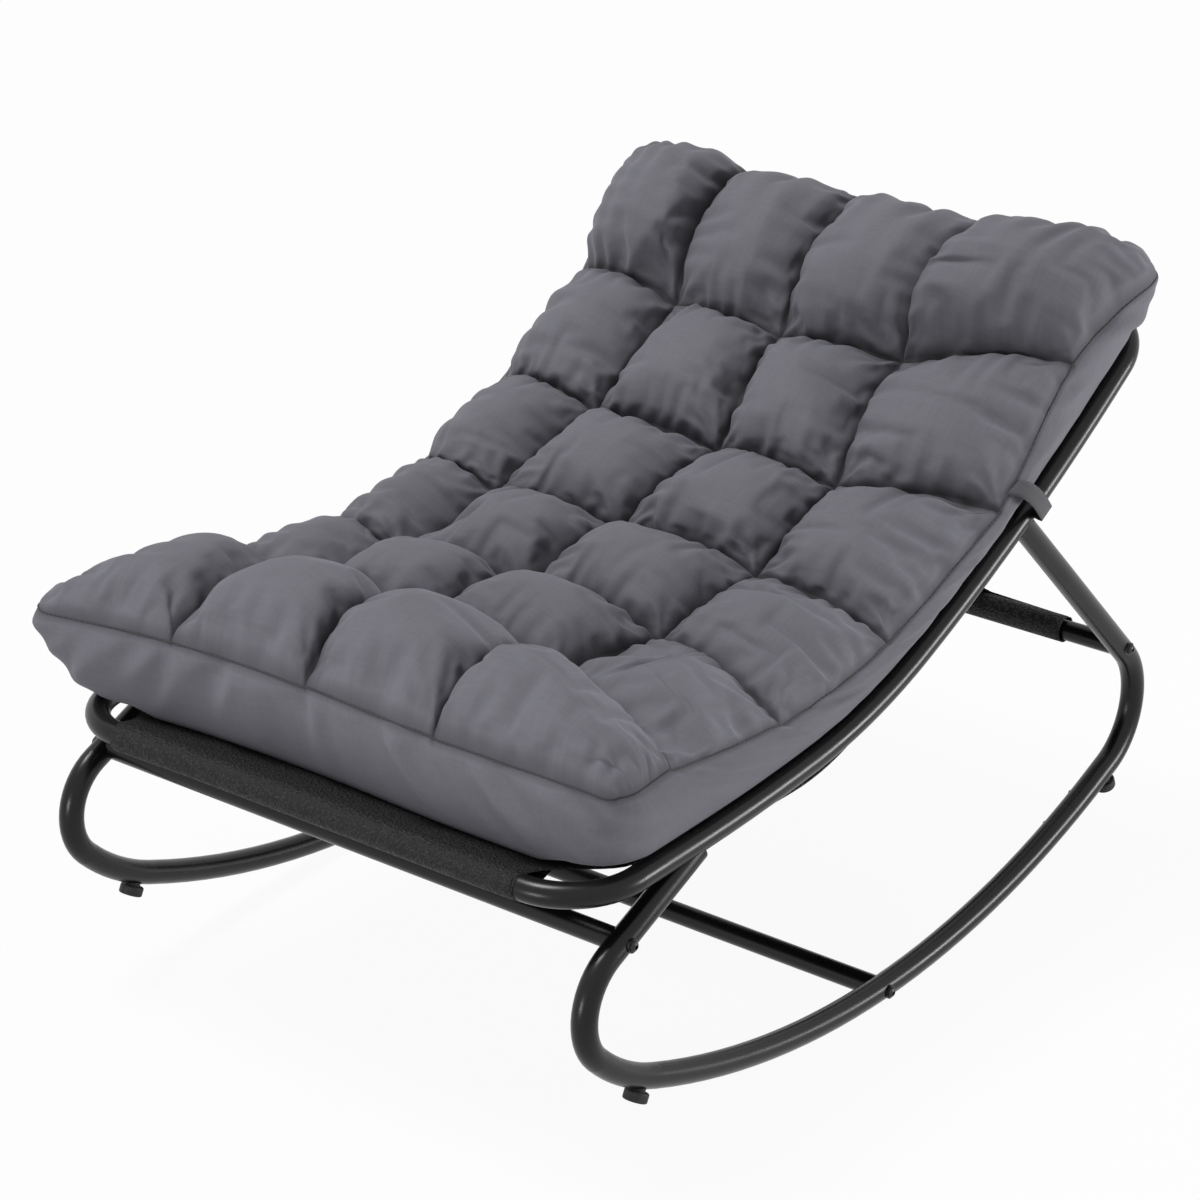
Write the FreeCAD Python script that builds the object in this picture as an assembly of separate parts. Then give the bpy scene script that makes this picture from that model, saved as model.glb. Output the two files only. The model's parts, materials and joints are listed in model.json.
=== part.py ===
import FreeCAD, Part
import math
import os

# Outdoor rocking lounge chair, millimetres, +Z up, seat facing -Y.
# Side profiles are written as (y, z) and moved by Y_SHIFT so the box centre is on the origin.
Y_SHIFT = -43.0

# Tubes
TUBE_OD = 25.0
TUBE_WALL = 1.2
BAR_OD = 22.0
BAR_WALL = 1.2
FIT_GAP = 0.05
HALF_W = 322.0

# Seat and back rail centreline
RAIL_START = (-355.0, 303.7)
RAIL_HEADING = 1.5
RAIL_FLAT = 95.0
RAIL_SEAT_R = 2200.0
RAIL_SEAT_TURN = 4.5
RAIL_CROOK_R = 640.0
RAIL_CROOK_TURN = 17.0
RAIL_BACK_R = 2200.0
RAIL_BACK_TURN_LOW = 6.0
RAIL_BACK_TURN_HIGH = 4.5
FRONT_CORNER_R = 72.0
TOP_CORNER_R = 60.0
SEAM_GAP = 0.3

# Rocker loop
FLOOR_R = 1035.0
FLOOR_LOW_Y = 60.0
FLOOR_HALF_ANGLE = 22.0
FRONT_EASE_R = 247.0
FRONT_EASE_TURN = 24.0
FRONT_BEND_R = 60.0
LEG_SLOPE = 23.5
FRONT_LEG_LEN = 140.0
REAR_FLAT = 24.0
REAR_BEND_R = 74.0
REAR_BEND_TURN = 113.0
REAR_LEG_LEN = 324.0
SEAM_Y = 395.0
SPIGOT_LEN = 60.0

# Cross bars and their bolts
BAR_A_ALONG_LEG = 19.0
BAR_B_Y = 45.0
BAR_C_ALONG_LEG = 18.0
BOLT_D = 6.0
BOLT_LEN = 50.0
BOLT_HEAD_D = 11.0
BOLT_HEAD_H = 3.6
SOCKET_AF = 4.0
WASHER_D = 14.0
PLUG_LEN = 24.0

# Rubber tip stops
STOP_D = 24.0
STOP_T = 10.0
STOP_NECK_D = 15.0
STOP_BASE = 14.0
STOP_FRONT_ANGLE = 26.5
STOP_REAR_ALONG = 13.0

# Sling
CLOTH = 1.2
SLING_HALF = 296.0
SLING_FRONT_HALF = 249.0
SLING_TOP_HALF = 260.0
SLING_DROP_ANGLE = 11.0
SLING_DROP_LEN = 150.0
SLING_R1 = 900.0
SLING_TURN1 = 13.0
SLING_R2 = 400.0
SLING_TURN2 = 34.0
BAND_HALF = 142.0
BAND_SLEEVE_HALF = 257.0
BAND_FILLET = 34.0
BAND_FLANGE = 30.0
SLEEVE_SLACK = 2.1

# Cushion
ROWS = 6
CUSHION_SIT = 15.2
CUSHION_FOOT_HALF = 326.0
CUSHION_FOOT_IN = 6.0
SIDE_BULGE = 6.0
# Sewn lines along the rail, where each row crests, heights above the rail and half widths, front to top
ROW_LINE = (29.0, 204.0, 350.0, 502.0, 655.0, 822.0, 1013.0)
ROW_CREASE = (100.0, 90.0, 81.0, 78.0, 73.0, 83.0, 70.0)
ROW_CREST = (0.42, 0.5, 0.5, 0.5, 0.5, 0.63)
ROW_CROWN = (166.0, 127.0, 116.0, 109.0, 112.0, 135.0)
OUTER_CROWN = (152.0, 108.0, 99.0, 95.0, 101.0, 141.0)
EDGE_AT_CREASE = (99.0, 82.0, 60.0, 50.0, 42.0, 60.0, 66.0)
EDGE_AT_CROWN = (96.0, 71.0, 55.0, 46.0, 50.0, 66.0)
HALF_AT_CREASE = (359.0, 341.0, 327.0, 321.0, 318.0, 318.0, 343.0)
HALF_AT_CROWN = (352.0, 334.0, 324.0, 319.0, 317.0, 329.0)
COLUMN_SINK = 32.0
SHOULDER = 0.32
SHOULDER_RISE = 0.66
CREASE_SCALLOP = 12.0
OUTER_SCALLOP = 8.0
OUTER_CREST = 0.77
CUSHION_SKIN = 3.5
BELLY_FRONT_HALF = 262.0
BELLY_WIDEN = 42.0
BELLY_EASE = 85.0
BELLY_SLOPE = 28.0
BELLY_IN = 24.0
BELLY_REST = 0.6
BELLY_LIFT = 0.8
STRAP_W = 20.0
STRAP_T = 1.6
STRAP_TAIL = 30.0
STRAP_DOWN = 6.0


def vec(x, y, z):
    return FreeCAD.Vector(x, y + Y_SHIFT, z)


def unit(deg):
    a = math.radians(deg)
    return (math.cos(a), math.sin(a))


def advance(state, seg):
    """Move a (y, z, heading) state along a straight ('L') or a left turning arc ('A')."""
    y, z, h = state
    if seg[0] == 'L':
        c, s = unit(h)
        return (y + seg[1] * c, z + seg[1] * s, h)
    r, turn = seg[1], seg[2]
    c0, s0 = unit(h)
    c1, s1 = unit(h + turn)
    return (y + r * (s1 - s0), z + r * (c0 - c1), h + turn)


def seg_len(seg):
    if seg[0] == 'L':
        return seg[1]
    return seg[1] * math.radians(seg[2])


def at_length(state, segs, s):
    """State at arc length s, carried straight on beyond either end."""
    if s <= 0:
        return advance(state, ('L', s))
    for seg in segs:
        n = seg_len(seg)
        if s <= n:
            if seg[0] == 'L':
                return advance(state, ('L', s))
            return advance(state, ('A', seg[1], math.degrees(s / seg[1])))
        s = s - n
        state = advance(state, seg)
    return advance(state, ('L', s))


def end_of(state, segs):
    for seg in segs:
        state = advance(state, seg)
    return state


def edges_of(x, state, segs):
    """Lines and arcs of a side profile in the plane x."""
    out = []
    for seg in segs:
        nxt = advance(state, seg)
        a = vec(x, state[0], state[1])
        b = vec(x, nxt[0], nxt[1])
        if seg[0] == 'L':
            out.append(Part.LineSegment(a, b).toShape())
        else:
            mid = advance(state, ('A', seg[1], seg[2] / 2.0))
            out.append(Part.Arc(a, vec(x, mid[0], mid[1]), b).toShape())
        state = nxt
    return out


def disc(centre, direction, radius):
    return Part.Wire(Part.Circle(centre, direction, radius).toShape())


def sweep(edges, start, direction, radius):
    face = Part.Face(disc(start, direction, radius))
    return Part.Wire(edges).makePipe(face)


def tube(edges, start, direction, od, wall):
    outer = sweep(edges, start, direction, od / 2.0)
    inner = sweep(edges, start, direction, od / 2.0 - wall)
    return outer.cut(inner)


def heading_vec(h):
    c, s = unit(h)
    return FreeCAD.Vector(0, c, s)


def cyl_x(x0, x1, y, z, d):
    return Part.makeCylinder(d / 2.0, x1 - x0, vec(x0, y, z), FreeCAD.Vector(1, 0, 0))


def mirrored(shape):
    return shape.mirror(FreeCAD.Vector(0, 0, 0), FreeCAD.Vector(1, 0, 0))


def both(shape):
    return [shape, mirrored(shape)]


def one_solid(shape):
    if shape.ShapeType == 'Solid':
        return shape
    solids = sorted(shape.Solids, key=lambda s: s.Volume)
    return solids[-1]


def save(name, shapes):
    if len(shapes) == 1:
        shape = shapes[0]
    else:
        shape = Part.makeCompound(shapes)
    shape.exportStep(os.path.join("parts", name + ".step"))


os.makedirs("parts", exist_ok=True)

# Rail centreline
rail0 = (RAIL_START[0], RAIL_START[1], RAIL_HEADING)
rail_low = [('L', RAIL_FLAT),
            ('A', RAIL_SEAT_R, RAIL_SEAT_TURN),
            ('A', RAIL_CROOK_R, RAIL_CROOK_TURN),
            ('A', RAIL_BACK_R, RAIL_BACK_TURN_LOW)]
rail_high = [('A', RAIL_BACK_R, RAIL_BACK_TURN_HIGH)]
rail_split = end_of(rail0, rail_low)
rail_end = end_of(rail_split, rail_high)
rail_low_len = sum(seg_len(s) for s in rail_low)
front_y = rail0[0] - FRONT_CORNER_R * unit(rail0[2])[0]
front_z = rail0[1] - FRONT_CORNER_R * unit(rail0[2])[1]
top_y = rail_end[0] + TOP_CORNER_R * unit(rail_end[2])[0]
top_z = rail_end[1] + TOP_CORNER_R * unit(rail_end[2])[1]


def corner(side, state, radius, sign):
    """Quarter bend from a rail end (state) towards the middle of the chair."""
    u = heading_vec(state[2]) * sign
    p0 = vec(side * HALF_W, state[0], state[1])
    centre = p0 - FreeCAD.Vector(side * radius, 0, 0)
    k = math.sqrt(0.5) * radius
    mid = centre + FreeCAD.Vector(side * k, 0, 0) + u * k
    p1 = centre + u * radius
    return Part.Arc(p0, mid, p1).toShape(), p1


def u_frame(state, segs, radius, sign):
    """Closed end U of tube: side rails, two corner bends and the cross piece."""
    right = edges_of(HALF_W, state, segs)
    left = edges_of(-HALF_W, state, segs)
    bend_state = state if sign < 0 else end_of(state, segs)
    ca, pa = corner(1, bend_state, radius, sign)
    cb, pb = corner(-1, bend_state, radius, sign)
    line = Part.LineSegment(pa, pb).toShape()
    if sign < 0:
        tip = end_of(state, segs)
        chain = list(reversed(right)) + [ca, line, cb] + left
    else:
        tip = state
        chain = right + [ca, line, cb] + list(reversed(left))
    start = vec(HALF_W, tip[0], tip[1])
    wire = Part.Wire(Part.__sortEdges__(chain))
    direction = heading_vec(tip[2])
    outer = wire.makePipe(Part.Face(disc(start, direction, TUBE_OD / 2.0)))
    inner = wire.makePipe(Part.Face(disc(start, direction, TUBE_OD / 2.0 - TUBE_WALL)))
    return outer.cut(inner)


# The two rail tubes meet at a butt seam with a small gap
half_gap_turn = math.degrees(SEAM_GAP / 2.0 / RAIL_BACK_R)
low_segs = rail_low[:3] + [('A', RAIL_BACK_R, RAIL_BACK_TURN_LOW - half_gap_turn)]
high_start = advance(rail_split, ('A', RAIL_BACK_R, half_gap_turn))
high_segs = [('A', RAIL_BACK_R, RAIL_BACK_TURN_HIGH - half_gap_turn)]
seat_rail = u_frame(rail0, low_segs, FRONT_CORNER_R, -1)
back_rail = u_frame(high_start, high_segs, TOP_CORNER_R, 1)

# Solid rail envelope used to cope the legs
rail_env = sweep(edges_of(HALF_W, rail0, rail_low + rail_high),
                 vec(HALF_W, rail0[0], rail0[1]), heading_vec(rail0[2]), TUBE_OD / 2.0 + FIT_GAP)

# Rail joint spigots
SPIGOT_OD = TUBE_OD - 2 * TUBE_WALL - 0.2
spigot_state = at_length(rail0, rail_low + rail_high, rail_low_len - SPIGOT_LEN / 2.0)
spigot_seg = [('A', RAIL_BACK_R, math.degrees(SPIGOT_LEN / RAIL_BACK_R))]
rail_spigot = tube(edges_of(HALF_W, spigot_state, spigot_seg), vec(HALF_W, spigot_state[0], spigot_state[1]),
                   heading_vec(spigot_state[2]), SPIGOT_OD, 1.5)

# Rocker centreline, from the front leg down, along the floor and up the rear leg
floor_cz = TUBE_OD / 2.0 + FLOOR_R
fc, fs = unit(FLOOR_HALF_ANGLE)
floor_start = (FLOOR_LOW_Y - FLOOR_R * fs, floor_cz - FLOOR_R * fc, -FLOOR_HALF_ANGLE)
ease_heading = -FLOOR_HALF_ANGLE - FRONT_EASE_TURN
ec, es = unit(ease_heading)
ease_start = (floor_start[0] - FRONT_EASE_R * (unit(-FLOOR_HALF_ANGLE)[1] - es),
              floor_start[1] - FRONT_EASE_R * (ec - unit(-FLOOR_HALF_ANGLE)[0]),
              ease_heading)
leg_heading = -(180.0 - LEG_SLOPE)
bend_turn = ease_heading - leg_heading
bc, bs = unit(leg_heading)
bend_start = (ease_start[0] - FRONT_BEND_R * (es - bs),
              ease_start[1] - FRONT_BEND_R * (bc - ec),
              leg_heading)
leg_top = (bend_start[0] - FRONT_LEG_LEN * bc, bend_start[1] - FRONT_LEG_LEN * bs, leg_heading)
seam_angle = math.degrees(math.asin((SEAM_Y - FLOOR_LOW_Y) / FLOOR_R))
seam_half = math.degrees(SEAM_GAP / 2.0 / FLOOR_R)
runner_segs = [('L', FRONT_LEG_LEN),
               ('A', FRONT_BEND_R, bend_turn),
               ('A', FRONT_EASE_R, FRONT_EASE_TURN),
               ('A', FLOOR_R, FLOOR_HALF_ANGLE + seam_angle - seam_half)]
runner_full = runner_segs[:3] + [('A', FLOOR_R, FLOOR_HALF_ANGLE + seam_angle)]
seam_state = end_of(leg_top, runner_full)
heel_start = advance(seam_state, ('A', FLOOR_R, seam_half))
heel_segs = [('A', FLOOR_R, FLOOR_HALF_ANGLE - seam_angle - seam_half),
             ('L', REAR_FLAT),
             ('A', REAR_BEND_R, REAR_BEND_TURN),
             ('L', REAR_LEG_LEN)]


def along_x_tube(state, segs):
    return tube(edges_of(HALF_W, state, segs), vec(HALF_W, state[0], state[1]),
                heading_vec(state[2]), TUBE_OD, TUBE_WALL)


def envelope(state, segs):
    return sweep(edges_of(HALF_W, state, segs), vec(HALF_W, state[0], state[1]),
                 heading_vec(state[2]), TUBE_OD / 2.0 + FIT_GAP)


runner = one_solid(along_x_tube(leg_top, runner_segs).cut(rail_env))
heel = one_solid(along_x_tube(heel_start, heel_segs).cut(rail_env))
runner_env = envelope(leg_top, runner_segs)
heel_env = envelope(heel_start, heel_segs)

spig_turn = math.degrees(SPIGOT_LEN / 2.0 / FLOOR_R)
rs_state = advance(seam_state, ('A', FLOOR_R, -spig_turn))
rs_seg = [('A', FLOOR_R, 2 * spig_turn)]
rocker_spigot = tube(edges_of(HALF_W, rs_state, rs_seg), vec(HALF_W, rs_state[0], rs_state[1]),
                     heading_vec(rs_state[2]), SPIGOT_OD, 1.5)

# Cross bar places on the side loops
bar_a = advance(bend_start, ('L', -BAR_A_ALONG_LEG))[:2]
bar_b = (BAR_B_Y, floor_cz - math.sqrt(FLOOR_R ** 2 - (BAR_B_Y - FLOOR_LOW_Y) ** 2))
heel_bend_end = end_of(heel_start, heel_segs[:3])
bar_c = advance(heel_bend_end, ('L', BAR_C_ALONG_LEG))[:2]
bars = (bar_a, bar_b, bar_c)

for p in bars:
    hole = cyl_x(HALF_W - 20, HALF_W + 20, p[0], p[1], BOLT_D + 0.6)
    runner = runner.cut(hole)
    heel = heel.cut(hole)


def cross_bar(p):
    full = cyl_x(-HALF_W + 3, HALF_W - 3, p[0], p[1], BAR_OD)
    bore = cyl_x(-HALF_W, HALF_W, p[0], p[1], BAR_OD - 2 * BAR_WALL)
    bar = full.cut(bore)
    for env in (runner_env, heel_env):
        bar = bar.cut(env)
        bar = bar.cut(mirrored(env))
    return one_solid(bar)


def bar_plug(p):
    x1 = HALF_W - TUBE_OD / 2.0 - 3.0
    body = cyl_x(x1 - PLUG_LEN, x1, p[0], p[1], BAR_OD - 2 * BAR_WALL - 0.2)
    body = body.cut(cyl_x(x1 - PLUG_LEN - 1, x1 + 1, p[0], p[1], BOLT_D + 0.2))
    groove = cyl_x(x1 - 14, x1 - 10, p[0], p[1], BAR_OD)
    groove = groove.cut(cyl_x(x1 - 15, x1 - 9, p[0], p[1], BAR_OD - 2 * BAR_WALL - 2.2))
    return body.cut(groove)


HEAD_X = HALF_W + TUBE_OD / 2.0 + 1.4


def saddle_washer(p):
    body = cyl_x(HALF_W + TUBE_OD / 2.0 - 4.0, HEAD_X, p[0], p[1], WASHER_D)
    body = body.cut(cyl_x(HALF_W, HEAD_X + 1, p[0], p[1], BOLT_D + 0.6))
    for env in (runner_env, heel_env):
        body = body.cut(env)
    return one_solid(body)


def hexagon(x, y, z, af):
    r = af / math.sqrt(3.0)
    pts = []
    for i in range(7):
        c, s = unit(60.0 * i)
        pts.append(vec(x, y + r * c, z + r * s))
    return Part.Face(Part.makePolygon(pts))


def bolt(p):
    x0 = HEAD_X + 0.05
    r = BOLT_HEAD_D / 2.0
    edge = 1.0
    a = FreeCAD.Vector(x0, 0, 0)
    b = FreeCAD.Vector(x0, r, 0)
    c = FreeCAD.Vector(x0 + edge, r, 0)
    d = FreeCAD.Vector(x0 + edge + (BOLT_HEAD_H - edge) * 0.78, r * 0.62, 0)
    e = FreeCAD.Vector(x0 + BOLT_HEAD_H, 0, 0)
    prof = Part.Wire([Part.LineSegment(a, b).toShape(), Part.LineSegment(b, c).toShape(),
                      Part.Arc(c, d, e).toShape(), Part.LineSegment(e, a).toShape()])
    head = Part.Face(prof).revolve(FreeCAD.Vector(0, 0, 0), FreeCAD.Vector(1, 0, 0), 360)
    head.translate(vec(0, p[0], p[1]))
    socket = hexagon(x0 + BOLT_HEAD_H - 2.0, p[0], p[1], SOCKET_AF).extrude(FreeCAD.Vector(3, 0, 0))
    shank = cyl_x(x0 - BOLT_LEN, x0 + 0.5, p[0], p[1], BOLT_D)
    return one_solid(head.fuse(shank).cut(socket).removeSplitter())


# Rubber tip stops, one near each end of each runner, square to the tube
def stop_frame(state):
    """Point on the tube axis and the outward normal below it."""
    c, s = unit(state[2])
    return (state[0], state[1]), FreeCAD.Vector(0, s, -c)


front_stop_state = (floor_start[0] - FRONT_EASE_R * (unit(-FLOOR_HALF_ANGLE)[1] - unit(-STOP_FRONT_ANGLE)[1]),
                    floor_start[1] - FRONT_EASE_R * (unit(-STOP_FRONT_ANGLE)[0] - unit(-FLOOR_HALF_ANGLE)[0]),
                    -STOP_FRONT_ANGLE)
heel_arc_end = end_of(heel_start, heel_segs[:1])
rear_stop_state = advance(heel_arc_end, ('L', STOP_REAR_ALONG))


def stop_pad(state, env):
    p, n = stop_frame(state)
    o = vec(HALF_W, p[0], p[1])
    neck = Part.makeCylinder(STOP_NECK_D / 2.0, STOP_BASE - 9.0, o + n * 9.0, n)
    pad = Part.makeCylinder(STOP_D / 2.0, STOP_T, o + n * STOP_BASE, n)
    rims = []
    for e in pad.Edges:
        if e.Curve.TypeId == 'Part::GeomCircle':
            rims.append(e)
    pad = pad.makeFillet(1.8, rims)
    body = neck.fuse(pad).cut(env)
    bore = Part.makeCylinder(2.5, 40, o, n)
    sink = Part.makeCylinder(4.8, 10, o + n * (STOP_BASE + STOP_T - 4.0), n)
    return one_solid(body.cut(bore).cut(sink))


def stop_screw(state):
    p, n = stop_frame(state)
    o = vec(HALF_W, p[0], p[1])
    seat = STOP_BASE + STOP_T - 4.0
    shank = Part.makeCylinder(2.1, seat - 5.0, o + n * 5.0, n)
    head = Part.makeCylinder(4.2, 2.6, o + n * (seat + 0.05), n)
    shank2 = Part.makeCylinder(2.1, 1.0, o + n * (seat - 0.5), n)
    cross_a = Part.makeBox(5.0, 1.1, 3.0, FreeCAD.Vector(-2.5, -0.55, 0))
    cross_b = Part.makeBox(1.1, 5.0, 3.0, FreeCAD.Vector(-0.55, -2.5, 0))
    drive = cross_a.fuse(cross_b)
    drive.Placement = FreeCAD.Placement(o + n * (seat + 1.2), FreeCAD.Rotation(FreeCAD.Vector(0, 0, 1), n))
    return one_solid(shank.fuse(shank2).fuse(head).cut(drive))


def stop_hole(state):
    p, n = stop_frame(state)
    return Part.makeCylinder(2.4, 14.0, vec(HALF_W, p[0], p[1]) + n * 4.0, n)


runner = one_solid(runner.cut(stop_hole(front_stop_state)))
heel = one_solid(heel.cut(stop_hole(rear_stop_state)))

# Joint screws: low truss heads on the inner face of each tube joint, into the spigot
SCREW_D = 4.0
SCREW_HEAD_D = 7.2
SCREW_HEAD_H = 1.3
SCREW_SLOT_DEPTH = 0.5


def joint_screw(state):
    o = vec(HALF_W - TUBE_OD / 2.0 - FIT_GAP, state[0], state[1])
    left = FreeCAD.Vector(-1, 0, 0)
    head = Part.makeCylinder(SCREW_HEAD_D / 2.0, SCREW_HEAD_H, o, left)
    head = head.makeFillet(0.7, [e for e in head.Edges if abs(e.BoundBox.XMin - head.BoundBox.XMin) < 1e-6
                                 and e.Curve.TypeId == 'Part::GeomCircle'])
    shank = Part.makeCylinder(SCREW_D / 2.0, 8.0, o + left * 0.6, FreeCAD.Vector(1, 0, 0))
    slot = Part.makeBox(2 * SCREW_SLOT_DEPTH, 0.9, 4.4,
                        o + left * (SCREW_HEAD_H + SCREW_SLOT_DEPTH) + FreeCAD.Vector(0, -0.45, -2.2))
    return one_solid(head.fuse(shank).cut(slot))


def joint_hole(state):
    o = vec(HALF_W - 20, state[0], state[1])
    return Part.makeCylinder(SCREW_D / 2.0 + 0.15, 16.0, o, FreeCAD.Vector(1, 0, 0))


SCREW_BACK = 26.0
screw_states = []
rail_all = rail_low + rail_high
for off in (-SCREW_BACK, SCREW_BACK):
    screw_states.append(at_length(rail0, rail_all, rail_low_len + off))
screw_states.append(advance(seam_state, ('A', FLOOR_R, -math.degrees(SCREW_BACK / FLOOR_R))))
screw_states.append(advance(seam_state, ('A', FLOOR_R, math.degrees(SCREW_BACK / FLOOR_R))))
for st in screw_states:
    h = joint_hole(st)
    seat_rail = seat_rail.cut(h).cut(mirrored(h))
    back_rail = back_rail.cut(h).cut(mirrored(h))
    runner = runner.cut(h)
    heel = heel.cut(h)
    rail_spigot = rail_spigot.cut(h)
    rocker_spigot = rocker_spigot.cut(h)
seat_rail = one_solid(seat_rail)
back_rail = one_solid(back_rail)
rail_spigot = one_solid(rail_spigot)
rocker_spigot = one_solid(rocker_spigot)
runner = one_solid(runner)
heel = one_solid(heel)

# Sling: one cloth with a sleeve round the front tube and one round the top tube
RING_IN = TUBE_OD / 2.0 + FIT_GAP
RING_OUT = RING_IN + CLOTH
sling_heading = -SLING_DROP_ANGLE
sling_lead = (front_y + (RING_OUT - CLOTH / 2.0) * math.sin(math.radians(SLING_DROP_ANGLE)),
              front_z + (RING_OUT - CLOTH / 2.0) * math.cos(math.radians(SLING_DROP_ANGLE)),
              sling_heading)
sling_segs = [('L', SLING_DROP_LEN), ('A', SLING_R1, SLING_TURN1), ('A', SLING_R2, SLING_TURN2)]
sling_up = end_of(sling_lead, sling_segs)
# The last straight runs tangent onto the sleeve round the top tube
reach_y = top_y - sling_up[0]
reach_z = top_z - sling_up[1]
reach = math.hypot(reach_y, reach_z)
aim = math.degrees(math.atan2(reach_z, reach_y)) + math.degrees(math.asin((RING_OUT - CLOTH / 2.0) / reach))
run = math.sqrt(reach ** 2 - (RING_OUT - CLOTH / 2.0) ** 2)
sling_tail = (sling_up[0], sling_up[1], aim)


def ribbon(x0, x1, state, segs, t):
    """Cloth of thickness t about a side profile, drawn out from x0 to x1."""
    faces = []
    cur = state
    for seg in segs:
        nxt = advance(cur, seg)
        quad = []
        for sign in (1, -1):
            ca, sa = unit(cur[2])
            cb, sb = unit(nxt[2])
            pa = (cur[0] - sign * t / 2.0 * sa, cur[1] + sign * t / 2.0 * ca)
            pb = (nxt[0] - sign * t / 2.0 * sb, nxt[1] + sign * t / 2.0 * cb)
            if seg[0] == 'L':
                quad.append(Part.LineSegment(vec(x0, pa[0], pa[1]), vec(x0, pb[0], pb[1])).toShape())
            else:
                m = advance(cur, ('A', seg[1], seg[2] / 2.0))
                cm, sm = unit(m[2])
                pm = (m[0] - sign * t / 2.0 * sm, m[1] + sign * t / 2.0 * cm)
                quad.append(Part.Arc(vec(x0, pa[0], pa[1]), vec(x0, pm[0], pm[1]),
                                     vec(x0, pb[0], pb[1])).toShape())
            quad.append((pa, pb))
        ends = [Part.LineSegment(vec(x0, quad[1][0][0], quad[1][0][1]),
                                 vec(x0, quad[3][0][0], quad[3][0][1])).toShape(),
                Part.LineSegment(vec(x0, quad[1][1][0], quad[1][1][1]),
                                 vec(x0, quad[3][1][0], quad[3][1][1])).toShape()]
        wire = Part.Wire(Part.__sortEdges__([quad[0], ends[1], quad[2], ends[0]]))
        faces.append(Part.Face(wire))
        cur = nxt
    solids = [f.extrude(FreeCAD.Vector(x1 - x0, 0, 0)) for f in faces]
    out = solids[0]
    for sd in solids[1:]:
        out = out.fuse(sd)
    return out


def ring(x0, x1, y, z, r_in, r_out):
    body = cyl_x(x0, x1, y, z, 2 * r_out)
    return body.cut(cyl_x(x0 - 1, x1 + 1, y, z, 2 * r_in))


sheet = ribbon(-SLING_HALF, SLING_HALF, sling_lead, sling_segs, CLOTH)
tail = ribbon(-SLING_HALF, SLING_HALF, sling_tail, [('L', run)], CLOTH)
sheet = sheet.fuse(tail)
for side in (-1, 1):
    x0 = SLING_FRONT_HALF if side > 0 else -SLING_HALF - 5
    notch = Part.makeBox(SLING_HALF + 5 - SLING_FRONT_HALF, 130, 140, vec(x0, front_y - 30, front_z - 80))
    sheet = sheet.cut(notch)
    x0 = SLING_TOP_HALF if side > 0 else -SLING_HALF - 5
    notch = Part.makeBox(SLING_HALF + 5 - SLING_TOP_HALF, 140, 160, vec(x0, top_y - 110, top_z - 110))
    sheet = sheet.cut(notch)
for half, yy, zz in ((SLING_FRONT_HALF, front_y, front_z), (SLING_TOP_HALF, top_y, top_z)):
    sheet = sheet.cut(cyl_x(-half, half, yy, zz, 2 * RING_IN))
    sheet = sheet.fuse(ring(-half, half, yy, zz, RING_IN, RING_OUT))
sling = one_solid(sheet.removeSplitter())


def sling_z(y):
    """Height of the sling's mid surface above a place y, by stepping along its profile."""
    state = sling_lead
    if y <= state[0]:
        return state[1]
    for seg in sling_segs:
        nxt = advance(state, seg)
        if y <= nxt[0]:
            if seg[0] == 'L':
                return state[1] + (y - state[0]) * math.tan(math.radians(state[2]))
            s1 = math.sin(math.radians(state[2])) + (y - state[0]) / seg[1]
            return state[1] + seg[1] * (math.cos(math.radians(state[2])) - math.sqrt(1 - s1 * s1))
        state = nxt
    return sling_up[1] + (y - sling_up[0]) * math.tan(math.radians(aim))


# Rear band: slack sleeve on the rear bar, drawn up against it, and a narrower strip up to the sling
sleeve_in = BAR_OD / 2.0 + FIT_GAP + SLEEVE_SLACK
sleeve_out = sleeve_in + CLOTH
band_heading = 135.0
bh = heading_vec(band_heading)
sleeve_c = (bar_c[0] + bh.y * SLEEVE_SLACK, bar_c[1] + bh.z * SLEEVE_SLACK)
band_n = FreeCAD.Vector(0, unit(band_heading)[1], -unit(band_heading)[0])
# The strip lies on the rear tangent of the sleeve, in the plane of the rear legs
off = sleeve_out - CLOTH / 2.0
band_state = (sleeve_c[0] + band_n.y * off, sleeve_c[1] + band_n.z * off, band_heading)
tail_c, tail_s = unit(aim)
den = unit(band_heading)[0] * tail_s - unit(band_heading)[1] * tail_c
dy = sling_up[0] - band_state[0]
dz = sling_up[1] - band_state[1]
band_len = (dy * tail_s - dz * tail_c) / den - CLOTH - 1.2
fl = BAND_FILLET


def band_point(x, s):
    return vec(x, band_state[0], band_state[1]) + bh * s - band_n * (CLOTH / 2.0)


k = fl * (1 - math.sqrt(0.5))
outline = []
seq = [(-BAND_SLEEVE_HALF, 0), (BAND_SLEEVE_HALF, 0), (BAND_SLEEVE_HALF, 3.0), (BAND_HALF + fl, 3.0)]
for a, b in zip(seq, seq[1:]):
    outline.append(Part.LineSegment(band_point(*a), band_point(*b)).toShape())
outline.append(Part.Arc(band_point(BAND_HALF + fl, 3.0), band_point(BAND_HALF + k, 3.0 + k),
                        band_point(BAND_HALF, 3.0 + fl)).toShape())
outline.append(Part.LineSegment(band_point(BAND_HALF, 3.0 + fl), band_point(BAND_HALF, band_len)).toShape())
outline.append(Part.LineSegment(band_point(BAND_HALF, band_len), band_point(-BAND_HALF, band_len)).toShape())
outline.append(Part.LineSegment(band_point(-BAND_HALF, band_len), band_point(-BAND_HALF, 3.0 + fl)).toShape())
outline.append(Part.Arc(band_point(-BAND_HALF, 3.0 + fl), band_point(-BAND_HALF - k, 3.0 + k),
                        band_point(-BAND_HALF - fl, 3.0)).toShape())
outline.append(Part.LineSegment(band_point(-BAND_HALF - fl, 3.0), band_point(-BAND_SLEEVE_HALF, 3.0)).toShape())
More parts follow.
